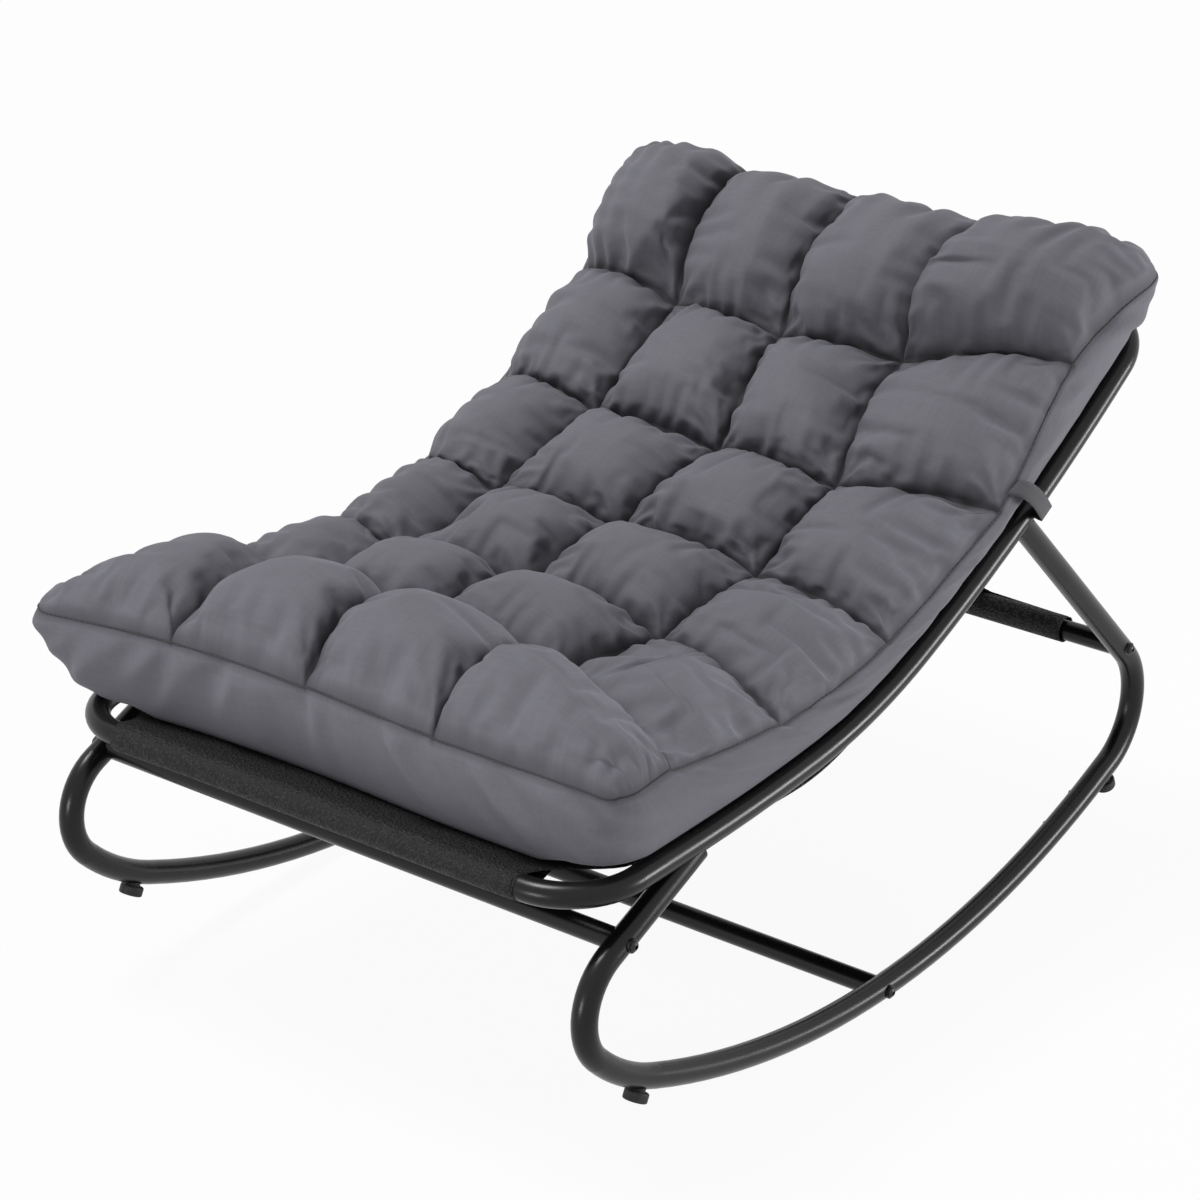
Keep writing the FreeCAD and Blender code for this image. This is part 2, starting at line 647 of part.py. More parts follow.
outline.append(Part.LineSegment(band_point(-BAND_SLEEVE_HALF, 3.0), band_point(-BAND_SLEEVE_HALF, 0)).toShape())
strip = Part.Face(Part.Wire(outline)).extrude(band_n * CLOTH)
band_end = advance(band_state, ('L', band_len - CLOTH))
# Sewn flange lying just under the sling
gap_n = CLOTH + FIT_GAP
foot_y = band_end[0]
foot_z = sling_up[1] + (foot_y - sling_up[0]) * math.tan(math.radians(aim))
flange_state = (foot_y + gap_n * tail_s, foot_z - gap_n * tail_c, aim)
flange = ribbon(-BAND_HALF, BAND_HALF, advance(flange_state, ('L', -BAND_FLANGE / 2.0)),
                [('L', BAND_FLANGE)], CLOTH)
strip_top = Part.Face(Part.makePolygon([
    band_point(-BAND_HALF, band_len - 0.5), band_point(BAND_HALF, band_len - 0.5),
    band_point(BAND_HALF, band_len + 12), band_point(-BAND_HALF, band_len + 12),
    band_point(-BAND_HALF, band_len - 0.5)])).extrude(band_n * CLOTH)
above = ribbon(-BAND_HALF - 5, BAND_HALF + 5,
               advance((flange_state[0] - 20 * tail_s, flange_state[1] + 20 * tail_c, aim), ('L', -80)),
               [('L', 160)], 40.0)
strip_top = strip_top.cut(above)
band = strip.fuse(strip_top).fuse(flange)
band = band.cut(cyl_x(-BAND_SLEEVE_HALF, BAND_SLEEVE_HALF, *sleeve_c, 2 * sleeve_in))
band = band.fuse(ring(-BAND_SLEEVE_HALF, BAND_SLEEVE_HALF, *sleeve_c, sleeve_in, sleeve_out))
band = one_solid(band.removeSplitter())

# Cushion: six quilted rows of four pillows, each row a loft between its sewn creases
def sit_height(state):
    """Distance along the normal from the rail centreline to the cushion's belly on the sling."""
    y, z, h = state
    c, s = unit(h)
    lo, hi = -80.0, 40.0
    for i in range(40):
        mid = (lo + hi) / 2.0
        py = y - s * mid
        pz = z + c * mid
        if pz > sling_z(py) + (CLOTH / 2.0 + 0.5) / max(0.5, math.cos(math.radians(h))):
            hi = mid
        else:
            lo = mid
    return hi


def section(s, half, edge_n, valley, crown, outer, skin):
    """Closed outline of the cushion across the chair at rail length s, drawn in by skin all round."""
    state = at_length(rail0, rail_all, s - FRONT_CORNER_R)
    c, sn = unit(state[2])
    o = vec(0, state[0], state[1])
    up = FreeCAD.Vector(0, -sn, c)

    def pt(x, n):
        return o + FreeCAD.Vector(x, 0, 0) + up * n

    belly = min(CUSHION_SIT - BELLY_REST, sit_height(state) + BELLY_LIFT) + skin
    sit = CUSHION_SIT + skin
    foot = min(CUSHION_FOOT_HALF, half - CUSHION_FOOT_IN)
    front_ease = min(1.0, max(0.0, (s - ROW_LINE[0]) / BELLY_EASE))
    step = min(BELLY_FRONT_HALF + BELLY_WIDEN * front_ease, foot - BELLY_IN) - skin
    half_b = step - BELLY_SLOPE
    side_x = max(half, foot) + SIDE_BULGE - skin
    side_n = (CUSHION_SIT + edge_n) / 2.0
    q = half / 2.0
    top_x = OUTER_CREST * half
    rim_x = half - skin
    rim_n = edge_n - skin
    foot = foot - skin
    fold = valley - skin
    e = []
    low = [(-foot, sit), (-step, sit), (-half_b, belly), (half_b, belly), (step, sit), (foot, sit)]
    for a, b in zip(low, low[1:]):
        e.append(Part.LineSegment(pt(*a), pt(*b)).toShape())
    e.append(Part.Arc(pt(foot, sit), pt(side_x, side_n), pt(rim_x, rim_n)).toShape())
    e.append(Part.Arc(pt(rim_x, rim_n), pt(top_x, outer - skin), pt(q, fold)).toShape())
    e.append(Part.Arc(pt(q, fold), pt(q / 2.0, crown - skin), pt(0, fold)).toShape())
    e.append(Part.Arc(pt(0, fold), pt(-q / 2.0, crown - skin), pt(-q, fold)).toShape())
    e.append(Part.Arc(pt(-q, fold), pt(-top_x, outer - skin), pt(-rim_x, rim_n)).toShape())
    e.append(Part.Arc(pt(-rim_x, rim_n), pt(-side_x, side_n), pt(-foot, sit)).toShape())
    return Part.Wire(e)


def blend(a, b, t):
    return a + (b - a) * t


def quilted(skin):
    """Rows of pillows lofted between their sewn creases, drawn in by skin all round."""
    rows = []
    for row in range(ROWS):
        wires = []
        crest = ROW_CREST[row]
        for t, rise in ((0.0, 0.0), (crest * SHOULDER, SHOULDER_RISE), (crest, 1.0),
                        (1.0 - (1.0 - crest) * SHOULDER, SHOULDER_RISE), (1.0, 0.0)):
            s = blend(ROW_LINE[row], ROW_LINE[row + 1], t)
            s = min(max(s, ROW_LINE[0] + skin), ROW_LINE[-1] - skin)
            near = row if t <= crest else row + 1
            crease = ROW_CREASE[near]
            crown = blend(crease + CREASE_SCALLOP, ROW_CROWN[row], rise)
            outer = blend(crease + OUTER_SCALLOP, OUTER_CROWN[row], rise)
            valley = blend(crease, ROW_CROWN[row] - COLUMN_SINK, rise)
            edge_n = blend(EDGE_AT_CREASE[near], EDGE_AT_CROWN[row], rise)
            half = blend(HALF_AT_CREASE[near], HALF_AT_CROWN[row], rise)
            wires.append(section(s, half, edge_n, valley, crown, outer, skin))
        rows.append(Part.makeLoft(wires, True, False))
    body = rows[0]
    for r in rows[1:]:
        body = body.fuse(r)
    return one_solid(body.removeSplitter())


# The cover is a closed skin; its loose fibre weighs next to nothing and is left out
cushion = one_solid(quilted(0.0).cut(quilted(CUSHION_SKIN)))

# Straps: one webbing loop each side, sewn under the cushion and passed round the rail
strap_state = at_length(rail0, rail_all, rail_low_len - STRAP_DOWN)


def strap():
    """Closed loop round the rail with a flat tail sewn under the cushion's edge."""
    c, s = unit(strap_state[2])
    tv = FreeCAD.Vector(0, c, s)
    nv = FreeCAD.Vector(0, -s, c)
    o = vec(HALF_W, strap_state[0], strap_state[1]) - tv * (STRAP_W / 2.0)
    r_in = TUBE_OD / 2.0 + 0.3
    r_out = r_in + STRAP_T
    loop = Part.makeCylinder(r_out, STRAP_W, o, tv)
    top = CUSHION_SIT - FIT_GAP
    pts = []
    for x, n in ((-STRAP_TAIL, top - STRAP_T), (0, top - STRAP_T), (0, top), (-STRAP_TAIL, top),
                 (-STRAP_TAIL, top - STRAP_T)):
        pts.append(o + FreeCAD.Vector(x, 0, 0) + nv * n)
    tail = Part.Face(Part.makePolygon(pts)).extrude(tv * STRAP_W)
    loop = loop.fuse(tail)
    return loop.cut(Part.makeCylinder(r_in, STRAP_W, o, tv))


right_strap = strap()
# The rear leg's coped end passes beside the strap, so the webbing is trimmed clear of it
leg_room = sweep(edges_of(HALF_W, end_of(heel_start, heel_segs[:3]), heel_segs[3:]),
                 vec(HALF_W, heel_bend_end[0], heel_bend_end[1]), heading_vec(heel_bend_end[2]),
                 TUBE_OD / 2.0 + 0.4)
right_strap = one_solid(right_strap.cut(leg_room))

save("seat_rail_frame", [seat_rail])
save("back_rail_frame", [back_rail])
save("rail_joint_spigots", both(rail_spigot))
save("right_rocker_runner", [runner])
save("left_rocker_runner", [mirrored(runner)])
save("right_rocker_heel", [heel])
save("left_rocker_heel", [mirrored(heel)])
save("rocker_joint_spigots", both(rocker_spigot))
screws = []
for st in screw_states:
    screws += both(joint_screw(st))
save("joint_screws", screws)
for name, p in zip(("front_cross_bar", "floor_cross_bar", "rear_cross_bar"), bars):
    save(name, [cross_bar(p)])
plugs, washers, bolts = [], [], []
for p in bars:
    plugs += both(bar_plug(p))
    washers += both(saddle_washer(p))
    bolts += both(bolt(p))
save("bar_end_plugs", plugs)
save("saddle_washers", washers)
save("cross_bar_bolts", bolts)
front_stop = stop_pad(front_stop_state, runner_env)
rear_stop = stop_pad(rear_stop_state, heel_env)
save("front_right_stop", [front_stop])
save("front_left_stop", [mirrored(front_stop)])
save("rear_right_stop", [rear_stop])
save("rear_left_stop", [mirrored(rear_stop)])
save("stop_screws", both(stop_screw(front_stop_state)) + both(stop_screw(rear_stop_state)))
save("sling", [sling])
save("sling_rear_band", [band])
save("cushion", [cushion])
save("right_cushion_strap", [right_strap])
save("left_cushion_strap", [mirrored(right_strap)])
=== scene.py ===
import json
import math

import bmesh
import bpy
import numpy as np
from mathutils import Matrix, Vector
from mathutils.bvhtree import BVHTree


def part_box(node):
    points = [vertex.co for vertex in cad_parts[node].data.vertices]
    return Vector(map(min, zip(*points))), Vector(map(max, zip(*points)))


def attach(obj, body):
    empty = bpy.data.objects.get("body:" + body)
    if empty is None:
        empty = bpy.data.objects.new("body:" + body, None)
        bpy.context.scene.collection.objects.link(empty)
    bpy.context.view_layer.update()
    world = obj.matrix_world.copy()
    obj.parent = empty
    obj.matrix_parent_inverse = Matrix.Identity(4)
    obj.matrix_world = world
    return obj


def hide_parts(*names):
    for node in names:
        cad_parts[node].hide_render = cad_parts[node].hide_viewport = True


# Rocking lounge chair in metres: finishes on the frame, and the soft parts as modelled cloth.
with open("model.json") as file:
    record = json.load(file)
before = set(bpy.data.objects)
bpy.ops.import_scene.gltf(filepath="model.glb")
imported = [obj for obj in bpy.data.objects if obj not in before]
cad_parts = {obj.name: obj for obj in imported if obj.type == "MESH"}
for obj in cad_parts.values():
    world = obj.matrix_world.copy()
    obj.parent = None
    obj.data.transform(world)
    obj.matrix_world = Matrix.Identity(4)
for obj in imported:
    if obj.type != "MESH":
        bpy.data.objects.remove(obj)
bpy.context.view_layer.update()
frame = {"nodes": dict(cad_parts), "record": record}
scene = bpy.context.scene
MM = 0.001

# Side profiles are (y, z, heading) states moved along straights and left turning arcs
TUBE_R = 12.5 * MM
BAR_R = 11.0 * MM
FRONT_TUBE = (-469.97 * MM, 301.82 * MM)
RAIL_HEADING = 1.5
RAIL_RUN = [("L", 0.167), ("A", 2.2, 4.5), ("A", 0.64, 17.0), ("A", 2.2, 10.5), ("L", 0.2)]
TOP_TUBE_AT = 0.9929
SLING_SAG = [("L", 0.150), ("A", 0.9, 13.0), ("A", 0.4, 34.0)]
SLING_DROP = 11.0

# Cushion in millimetres: sewn lines along the rail and across it, heights over the rail's centreline
ROWS, COLUMNS = 6, 4
LINE_S = ((10, 33, 37, 29, 30),
          (226, 204, 202, 204, 104),
          (368, 352, 348, 346, 275),
          (525, 505, 500, 498, 470),
          (682, 655, 648, 646, 686),
          (850, 815, 808, 818, 862),
          (1013, 1013, 1013, 1013, 1013))
LINE_X = ((-378, -206, -38, 125, 340),
          (-342, -188, -42, 120, 338),
          (-316, -188, -24, 146, 336),
          (-309, -170, -6, 164, 334),
          (-307, -145, 18, 166, 332),
          (-308, -141, 0, 146, 328),
          (-318, -165, -8, 172, 366))
CREASE_N = (100, 86, 78, 76, 71, 81, 66)
CROWN_N = ((142, 164, 166, 158),
           (102, 126, 126, 112),
           (93, 115, 115, 102),
           (96, 107, 109, 96),
           (101, 110, 111, 104),
           (134, 131, 142, 160))
LEFT_CREASE_N = (98, 58, 43, 34, 30, 34, 52)
LEFT_CROWN_N = (85, 50, 38, 35, 37, 45)
RIGHT_CREASE_N = (100, 102, 74, 62, 48, 84, 78)
RIGHT_CROWN_N = (101, 88, 68, 56, 66, 88)
ROW_SKEW = (0.8, 1.0, 1.0, 1.0, 1.0, 1.5)
COLUMN_SKEW = (1.35, 1.0, 1.0, 0.76)
COLUMN_SINK = 33
SLACK_DEPTH = (0.5, 0.4, 0.4, 0.8)
RIGHT_PULL = (1.5, 4.5, 5, 5, 5, 2.5)
LEFT_PULL = (0.5, 1, 3, 4, 4, 0.5)
CREASE_SCALLOP = 5
DIMPLE = 10
LEFT_RISE = 18
SIT = 15.4
FOOT_LEFT, FOOT_RIGHT = -338, 323
FOOT_IN = 8

# Cushion in metres: corner radii, wall bulge, wall folds as pitch and depth, seams with the reach of their
# painted shade, and foot
SEAM_CORNERS = (0.028, 0.05)
FOOT_CORNERS = (0.06, 0.06)
WALL_BULGE = 0.009
CORNER_BULGE, CORNER_REACH = 0.008, 0.09
DRAPE_FOLDS = ((0.16, 0.0045), (0.085, 0.0060), (0.048, 0.0050))
DRAPE_FAN, FRONT_RUN = 0.12, 0.72
PILLOW = 0.165
PAINTED_SHADE_REACH = 0.006
WELT_R = 0.001
SEAM_STEP = 0.007
PROBE_LOW, PROBE_HIGH = 0.15, 0.05
FOOT_CLEAR = 0.0004

# Cushion without unit: mesh steps, fullness, folds on the sides, sharpness of the seams and the painted shade
# at the sewn creases and the outer seam
PER_COLUMN, PER_ROW, PER_WALL = 32, 32, 12
STOPS_EVEN, STOPS_EASED = 0.55, 0.45
PUFF_FLAT, PUFF_FULL = 3.2, 0.4
BULGE_HIGH = 0.8
DRAPE_SWELL = (2.3, 3.4)
DRAPE_PEAK, DRAPE_LEVEL, DRAPE_START = 1.7, 0.8, 0.15
SIDE_DRAPE = 0.4
SHARP = 0.6
# Painted shade: how dark the cloth is painted at its sewn creases and along its outer seam
SEAM_PAINTED_SHADE, RIM_PAINTED_SHADE = 0.98, 0.55

# Cover as cloth under pressure, held at its sewn lines
SWELL_FRAMES, SWELL_PRESSURE, SWELL_GROW, SWELL_CAP = 16, 4.0, 0.085, 0.02
SWELL = {"quality": 5, "mass": 0.3, "vertex_group_mass": "sewn", "tension_stiffness": 15,
         "compression_stiffness": 15, "shear_stiffness": 5, "bending_stiffness": 0.3, "use_pressure": True,
         "uniform_pressure_force": SWELL_PRESSURE, "shrink_min": -SWELL_GROW}


def mesh_object(name, verts, faces):
    mesh = bpy.data.meshes.new(name)
    mesh.from_pydata([tuple(map(float, v)) for v in verts], [], [tuple(map(int, f)) for f in faces])
    mesh.validate()
    obj = bpy.data.objects.new(name, mesh)
    scene.collection.objects.link(obj)
    return obj


def smooth(obj):
    obj.data.polygons.foreach_set("use_smooth", [True] * len(obj.data.polygons))


def flat_uv(obj, flat):
    """UVs in metres from each vertex's place on the flat cloth."""
    layer = obj.data.uv_layers.new(name="UVMap")
    for corner in obj.data.loops:
        layer.data[corner.index].uv = flat[corner.vertex_index]


def run_length(path):
    """Length along a path at each of its points."""
    return np.concatenate([[0], np.cumsum(np.linalg.norm(np.diff(path, axis=0), axis=1))])


def outward(obj):
    """Turn all faces outward."""
    bm = bmesh.new()
    bm.from_mesh(obj.data)
    bmesh.ops.recalc_face_normals(bm, faces=bm.faces)
    bm.to_mesh(obj.data)
    bm.free()


def advance(state, seg):
    """State at the end of a straight ("L", length) or an arc ("A", radius, degrees)."""
    y, z, h = state
    a = math.radians(h)
    if seg[0] == "L":
        return (y + seg[1] * math.cos(a), z + seg[1] * math.sin(a), h)
    radius, turn = seg[1:]
    b = math.radians(h + turn)
    return (y + radius * (math.sin(b) - math.sin(a)), z + radius * (math.cos(a) - math.cos(b)), h + turn)


def sample(state, segs, step=0.002):
    """Rows of length, y, z and heading along a profile."""
    rows, run = [(0.0, *state)], 0.0
    for seg in segs:
        length = seg[1] if seg[0] == "L" else seg[1] * math.radians(seg[2])
        count = max(2, math.ceil(length / step))
        for i in range(1, count + 1):
            part = i / count
            first = ("L", length * part) if seg[0] == "L" else ("A", seg[1], seg[2] * part)
            rows.append((run + length * part, *advance(state, first)))
        state, run = advance(state, seg), run + length
    return np.array(rows)


RAIL = sample((*FRONT_TUBE, RAIL_HEADING), RAIL_RUN)


def rail_at(s):
    """Place and heading in radians of the rail's centreline at length s."""
    y = np.interp(s, RAIL[:, 0], RAIL[:, 1])
    z = np.interp(s, RAIL[:, 0], RAIL[:, 2])
    return y, z, np.radians(np.interp(s, RAIL[:, 0], RAIL[:, 3]))


# Materials
def new_material(name, colour, roughness, **sockets):
    mat = bpy.data.materials.new(name)
    mat.use_nodes = True
    shader = mat.node_tree.nodes["Principled BSDF"]
    shader.inputs["Base Color"].default_value = (*colour, 1)
    shader.inputs["Roughness"].default_value = roughness
    for key, value in sockets.items():
        shader.inputs[key.replace("_", " ")].default_value = value
    return mat, mat.node_tree, shader


def node(tree, kind, **values):
    made = tree.nodes.new(kind)
    for key, value in values.items():
        if key in made.inputs:
            made.inputs[key].default_value = value
        else:
            setattr(made, key, value)
    return made


def noise(tree, scale, detail=2.0, where="Object", stretch=(1, 1, 1)):
    """Noise over object or cloth coordinates, in features per metre."""
    coord = node(tree, "ShaderNodeTexCoord")
    mapping = node(tree, "ShaderNodeMapping", Scale=stretch)
    tex = node(tree, "ShaderNodeTexNoise", Scale=scale, Detail=detail)
    tree.links.new(coord.outputs[where], mapping.inputs["Vector"])
    tree.links.new(mapping.outputs[0], tex.inputs["Vector"])
    return tex.outputs[0]


def spread(tree, value, low, high, from_low=0.3, from_high=0.7):
    """Value mapped from one range to another."""
    out = node(tree, "ShaderNodeMapRange")
    ends = {"From Min": from_low, "From Max": from_high, "To Min": low, "To Max": high}
    for key, number in ends.items():
        out.inputs[key].default_value = number
    tree.links.new(value, out.inputs["Value"])
    return out.outputs[0]


def tint(tree, value, dark, light, shader):
    """Base colour between a dark and a light tone."""
    ramp = node(tree, "ShaderNodeMix", data_type="RGBA")
    ramp.inputs["A"].default_value = (*dark, 1)
    ramp.inputs["B"].default_value = (*light, 1)
    tree.links.new(value, ramp.inputs["Factor"])
    tree.links.new(ramp.outputs["Result"], shader.inputs["Base Color"])
    return ramp


def bump(tree, value, distance, shader, strength=1.0, after=None):
    made = node(tree, "ShaderNodeBump", Strength=strength, Distance=distance)
    tree.links.new(value, made.inputs["Height"])
    if after:
        tree.links.new(after.outputs[0], made.inputs["Normal"])
    tree.links.new(made.outputs[0], shader.inputs["Normal"])
    return made


def powder_coat():
    """Satin black powder coat with fine orange peel and a little handling wear in its gloss."""
    mat, tree, shader = new_material("powder_coat", (0.004, 0.004, 0.004), 0.25, Specular_IOR_Level=0.27)
    tint(tree, spread(tree, noise(tree, 9), 0, 1), (0.003, 0.003, 0.003), (0.006, 0.006, 0.006), shader)
    tree.links.new(spread(tree, noise(tree, 14, 4), 0.23, 0.31), shader.inputs["Roughness"])
    bump(tree, noise(tree, 900, 1), 0.0001, shader, 0.4)
    return mat


def plain_finish(name, dark, light, rough, grain, depth, **sockets):
    """Moulded or plated finish with fine grain and uneven gloss."""
    mat, tree, shader = new_material(name, dark, rough[0], **sockets)
    tint(tree, spread(tree, noise(tree, 60, 3), 0, 1), dark, light, shader)
    tree.links.new(spread(tree, noise(tree, 140, 3), *rough), shader.inputs["Roughness"])
    bump(tree, noise(tree, grain, 2), depth, shader, 0.6)
    return mat


def pebble_cloth():
    """Black coated cloth with a pebbled grain, the pebble tops painted lighter and the hollows between them
    painted darker as shade.
    """
    mat, tree, shader = new_material("pebble_cloth", (0.008, 0.008, 0.0085), 0.5, Specular_IOR_Level=0.3)
    coord = node(tree, "ShaderNodeTexCoord")
    cells = node(tree, "ShaderNodeTexVoronoi", feature="SMOOTH_F1", Scale=360.0, Smoothness=0.4)
    tree.links.new(coord.outputs["UV"], cells.inputs["Vector"])
    grain = spread(tree, cells.outputs["Distance"], 1, 0, 0.1, 0.65)
    # Painted shade and highlight: colour follows the grain's height, dark in the hollows and light on the
    # pebbles
    tint(tree, grain, (0.003, 0.003, 0.0033), (0.012, 0.012, 0.0127), shader)
    tree.links.new(spread(tree, grain, 0.7, 0.45, 0, 1), shader.inputs["Roughness"])
    bump(tree, grain, 0.0012, shader, 1.0)
    return mat


def weave(tree, period, where="UV"):
    """Height of a plain weave of the given thread period."""
    coord = node(tree, "ShaderNodeTexCoord")
    waves = []
    for axis in ("X", "Y"):
        wave = node(tree, "ShaderNodeTexWave", bands_direction=axis, Scale=0.314 / period, Distortion=0.6)
        wave.inputs["Detail Scale"].default_value = 3.0
        tree.links.new(coord.outputs[where], wave.inputs["Vector"])
        waves.append(wave.outputs["Fac"])
    both = node(tree, "ShaderNodeMath", operation="MULTIPLY")
    tree.links.new(waves[0], both.inputs[0])
    tree.links.new(waves[1], both.inputs[1])
    return both.outputs[0]


def cushion_cloth():
    """Mid grey woven polyester: fine plain weave, slubs in both thread directions, and painted shade that
    darkens it towards the seams.
    """
    mat, tree, shader = new_material("cushion_cloth", (0.13, 0.13, 0.148), 0.82, Sheen_Weight=0.16,
                                     Sheen_Roughness=0.45, Sheen_Tint=(0.62, 0.62, 0.7, 1))
    warp = noise(tree, 40, 4, "UV", (1, 9, 1))
    weft = noise(tree, 40, 4, "UV", (9, 1, 1))
    slub = node(tree, "ShaderNodeMath", operation="ADD")
    tree.links.new(warp, slub.inputs[0])
    tree.links.new(weft, slub.inputs[1])
    shade = tint(tree, spread(tree, slub.outputs[0], 0, 1, 0.8, 1.2), (0.129, 0.127, 0.148),
                 (0.142, 0.140, 0.163), shader)
    # Painted shade: the seam attribute mixes the cloth towards near black at the sewn creases and along the
    # outer seam
    seam = node(tree, "ShaderNodeAttribute", attribute_name="seam")
    dark = node(tree, "ShaderNodeMix", data_type="RGBA")
    dark.inputs["B"].default_value = (0.010, 0.010, 0.013, 1)
    tree.links.new(seam.outputs["Fac"], dark.inputs["Factor"])
    tree.links.new(shade.outputs["Result"], dark.inputs["A"])
    tree.links.new(dark.outputs["Result"], shader.inputs["Base Color"])
    threads = bump(tree, weave(tree, 0.0009), 0.00018, shader, 0.4)
    bump(tree, slub.outputs[0], 0.0004, shader, 0.2, threads)
    return mat


def webbing(name, dark, light):
    """Ribbed narrow webbing, its ribs painted lighter and its grooves painted darker as shade."""
    mat, tree, shader = new_material(name, dark, 0.75, Sheen_Weight=0.1)
    height = weave(tree, 0.0016)
    # Painted shade: colour follows the weave's height, dark in the grooves and light on the ribs
    tint(tree, height, dark, light, shader)
    bump(tree, height, 0.0005, shader, 0.8)
    return mat


POWDER = powder_coat()
BLACKENED = plain_finish("blackened_steel", (0.02, 0.02, 0.021), (0.035, 0.035, 0.036), (0.3, 0.45),
                         500, 0.0001, Metallic=0.55)
RUBBER = plain_finish("stop_rubber", (0.012, 0.012, 0.012), (0.02, 0.02, 0.02), (0.65, 0.85), 700, 0.0003)
PLUG = plain_finish("plug_plastic", (0.015, 0.015, 0.015), (0.024, 0.024, 0.024), (0.45, 0.6), 600, 0.0002)
STEEL = plain_finish("spigot_steel", (0.42, 0.42, 0.43), (0.55, 0.55, 0.56), (0.25, 0.4),
                     400, 0.0001, Metallic=1.0)
PEBBLE = pebble_cloth()
GREY_CLOTH = cushion_cloth()
STRAP_WEB = webbing("strap_webbing", (0.055, 0.055, 0.062), (0.1, 0.1, 0.112))
SEAM_THREAD = webbing("seam_thread", (0.03, 0.03, 0.036), (0.06, 0.06, 0.068))

SLOT_FINISH = {"frame_black": POWDER, "hardware_black": BLACKENED, "stop_rubber": RUBBER,
               "plug_black": PLUG, "inner_steel": STEEL, "sling_black": PEBBLE,
               "cushion_grey": GREY_CLOTH, "strap_grey": STRAP_WEB}


def dress_frame():
    """Finish of each carried-over solid, by its material slot in the record."""
    for part in frame["record"]["subparts"]:
        obj = frame["nodes"][part["node"]]
        obj.data.materials.clear()
        obj.data.materials.append(SLOT_FINISH[part["material_slot"]])


def piece(obj, material, slot, *replaced):
    """Finish and body of a piece, and the solids that it stands for, which are hidden. The slot argument is
    not used.
    """
    obj.data.materials.append(material)
    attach(obj, "root")
    if replaced:
        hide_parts(*replaced)


# Cushion
def even_curve(values, t):
    """Smooth curve through evenly spaced values."""
    v = np.asarray(values, float)
    ext = np.concatenate([[2 * v[0] - v[1]], v, [2 * v[-1] - v[-2]]])
    i = np.clip(np.floor(t).astype(int), 0, len(v) - 2)
    f = t - i
    a, b, c, d = ext[i], ext[i + 1], ext[i + 2], ext[i + 3]
    return b + 0.5 * f * (c - a + f * (2 * a - 5 * b + 4 * c - d + f * (3 * (b - c) + d - a)))


def cell_stops(count):
    """Stops from 0 to 1, closer together at both ends."""
    t = np.linspace(0, 1, count + 1)
    return STOPS_EVEN * t + STOPS_EASED * (0.5 - 0.5 * np.cos(math.pi * t))


def grid_lines(cells, per_cell):
    """Grid coordinates over a number of cells, whole numbers at the sewn lines."""
    stops = cell_stops(per_cell)
    return np.concatenate([c + stops[:-1] for c in range(cells)] + [[cells]])


def puff(t):
    """Full pillow profile from 0 at the creases to 1 in the middle."""
    return np.clip(1 - np.abs(2 * t - 1) ** PUFF_FLAT, 0, 1) ** PUFF_FULL


def crease_heights():
    """Heights at the crossings, halfway along the row creases and halfway along the column creases."""
    cross = np.zeros((ROWS + 1, COLUMNS + 1))
    cross[:] = np.array(CREASE_N)[:, None]
    cross[1:ROWS] -= DIMPLE
    cross[:, 0], cross[:, COLUMNS] = LEFT_CREASE_N, RIGHT_CREASE_N
    along_row = (cross[:, :-1] + cross[:, 1:]) / 2
    along_row[1:ROWS] += CREASE_SCALLOP + DIMPLE / 2
    along_row[1:ROWS, 0] += LEFT_RISE
    crown = np.array(CROWN_N, float)
    along_column = np.zeros((ROWS, COLUMNS + 1))
    along_column[:, 1:COLUMNS] = np.minimum(crown[:, :-1], crown[:, 1:]) - COLUMN_SINK
    along_column[:, 0], along_column[:, COLUMNS] = LEFT_CROWN_N, RIGHT_CROWN_N
    return cross, along_row, along_column


def arch(a, b, mid, t):
    """Curve from a to b that passes mid halfway."""
    return a + (b - a) * t + (mid - (a + b) / 2) * 4 * t * (1 - t)


def puckers(rng, along, away, reach=0.026, depth=0.0026, clear=0.004):
    """Short folds square to a crease, dying out away from it."""
    wave = np.zeros_like(along)
    for _ in range(3):
        pitch = rng.uniform(0.016, 0.034)
        wave = wave + np.sin(2 * math.pi * (along / pitch + rng.uniform())) * rng.uniform(0.4, 1.0)
    return depth / 1.6 * wave * np.exp(-away / reach) * (1 - np.exp(-away / clear))


def gathers(rng, x, s, reach=0.028, depth=0.0034, clear=0.006, twist=18):
    """Folds that fan out from a sewn crossing at the corner of a pillow."""
    far = np.hypot(x, s)
    angle = np.arctan2(s, x)
    waves = rng.uniform(9, 13) * angle + rng.uniform(0, 2 * math.pi)
    free = (1 - np.exp(-x / clear)) * (1 - np.exp(-s / clear))
    return depth * np.sin(waves + twist * far) * np.exp(-far / reach) * free


def edge_gathers(rng, along, away, depth=0.0036, pitch=0.031, reach=0.085, clear=0.01, sway=0.13):
    """Regular gathers along an outer seam, reaching well up the pillow."""
    drift = 0.9 * np.sin(2 * math.pi * (along / sway + rng.uniform()))
    wave = np.sin(2 * math.pi * (along / pitch + rng.uniform()) + drift)
    return depth * wave * np.exp(-away / reach) * (1 - np.exp(-away / clear))


def pulls(rng, out, s, row_len, depth, count=4, reach=0.13, clear=0.008):
    """Pulled folds that run outward from the inner crease of an outer pillow."""
    total = np.zeros_like(out)
    for k in range(count):
        at = row_len * (k + rng.uniform(0.25, 0.75)) / count
        away = s - at - rng.uniform(-0.3, 0.1) * out
        groove = np.exp(-(away / rng.uniform(0.0045, 0.008)) ** 2)
        fade = np.exp(-out / (reach * rng.uniform(0.6, 1.4))) * (1 - np.exp(-out / clear))
        total = total - depth * rng.uniform(0.5, 1.0) * groove * fade
    return total


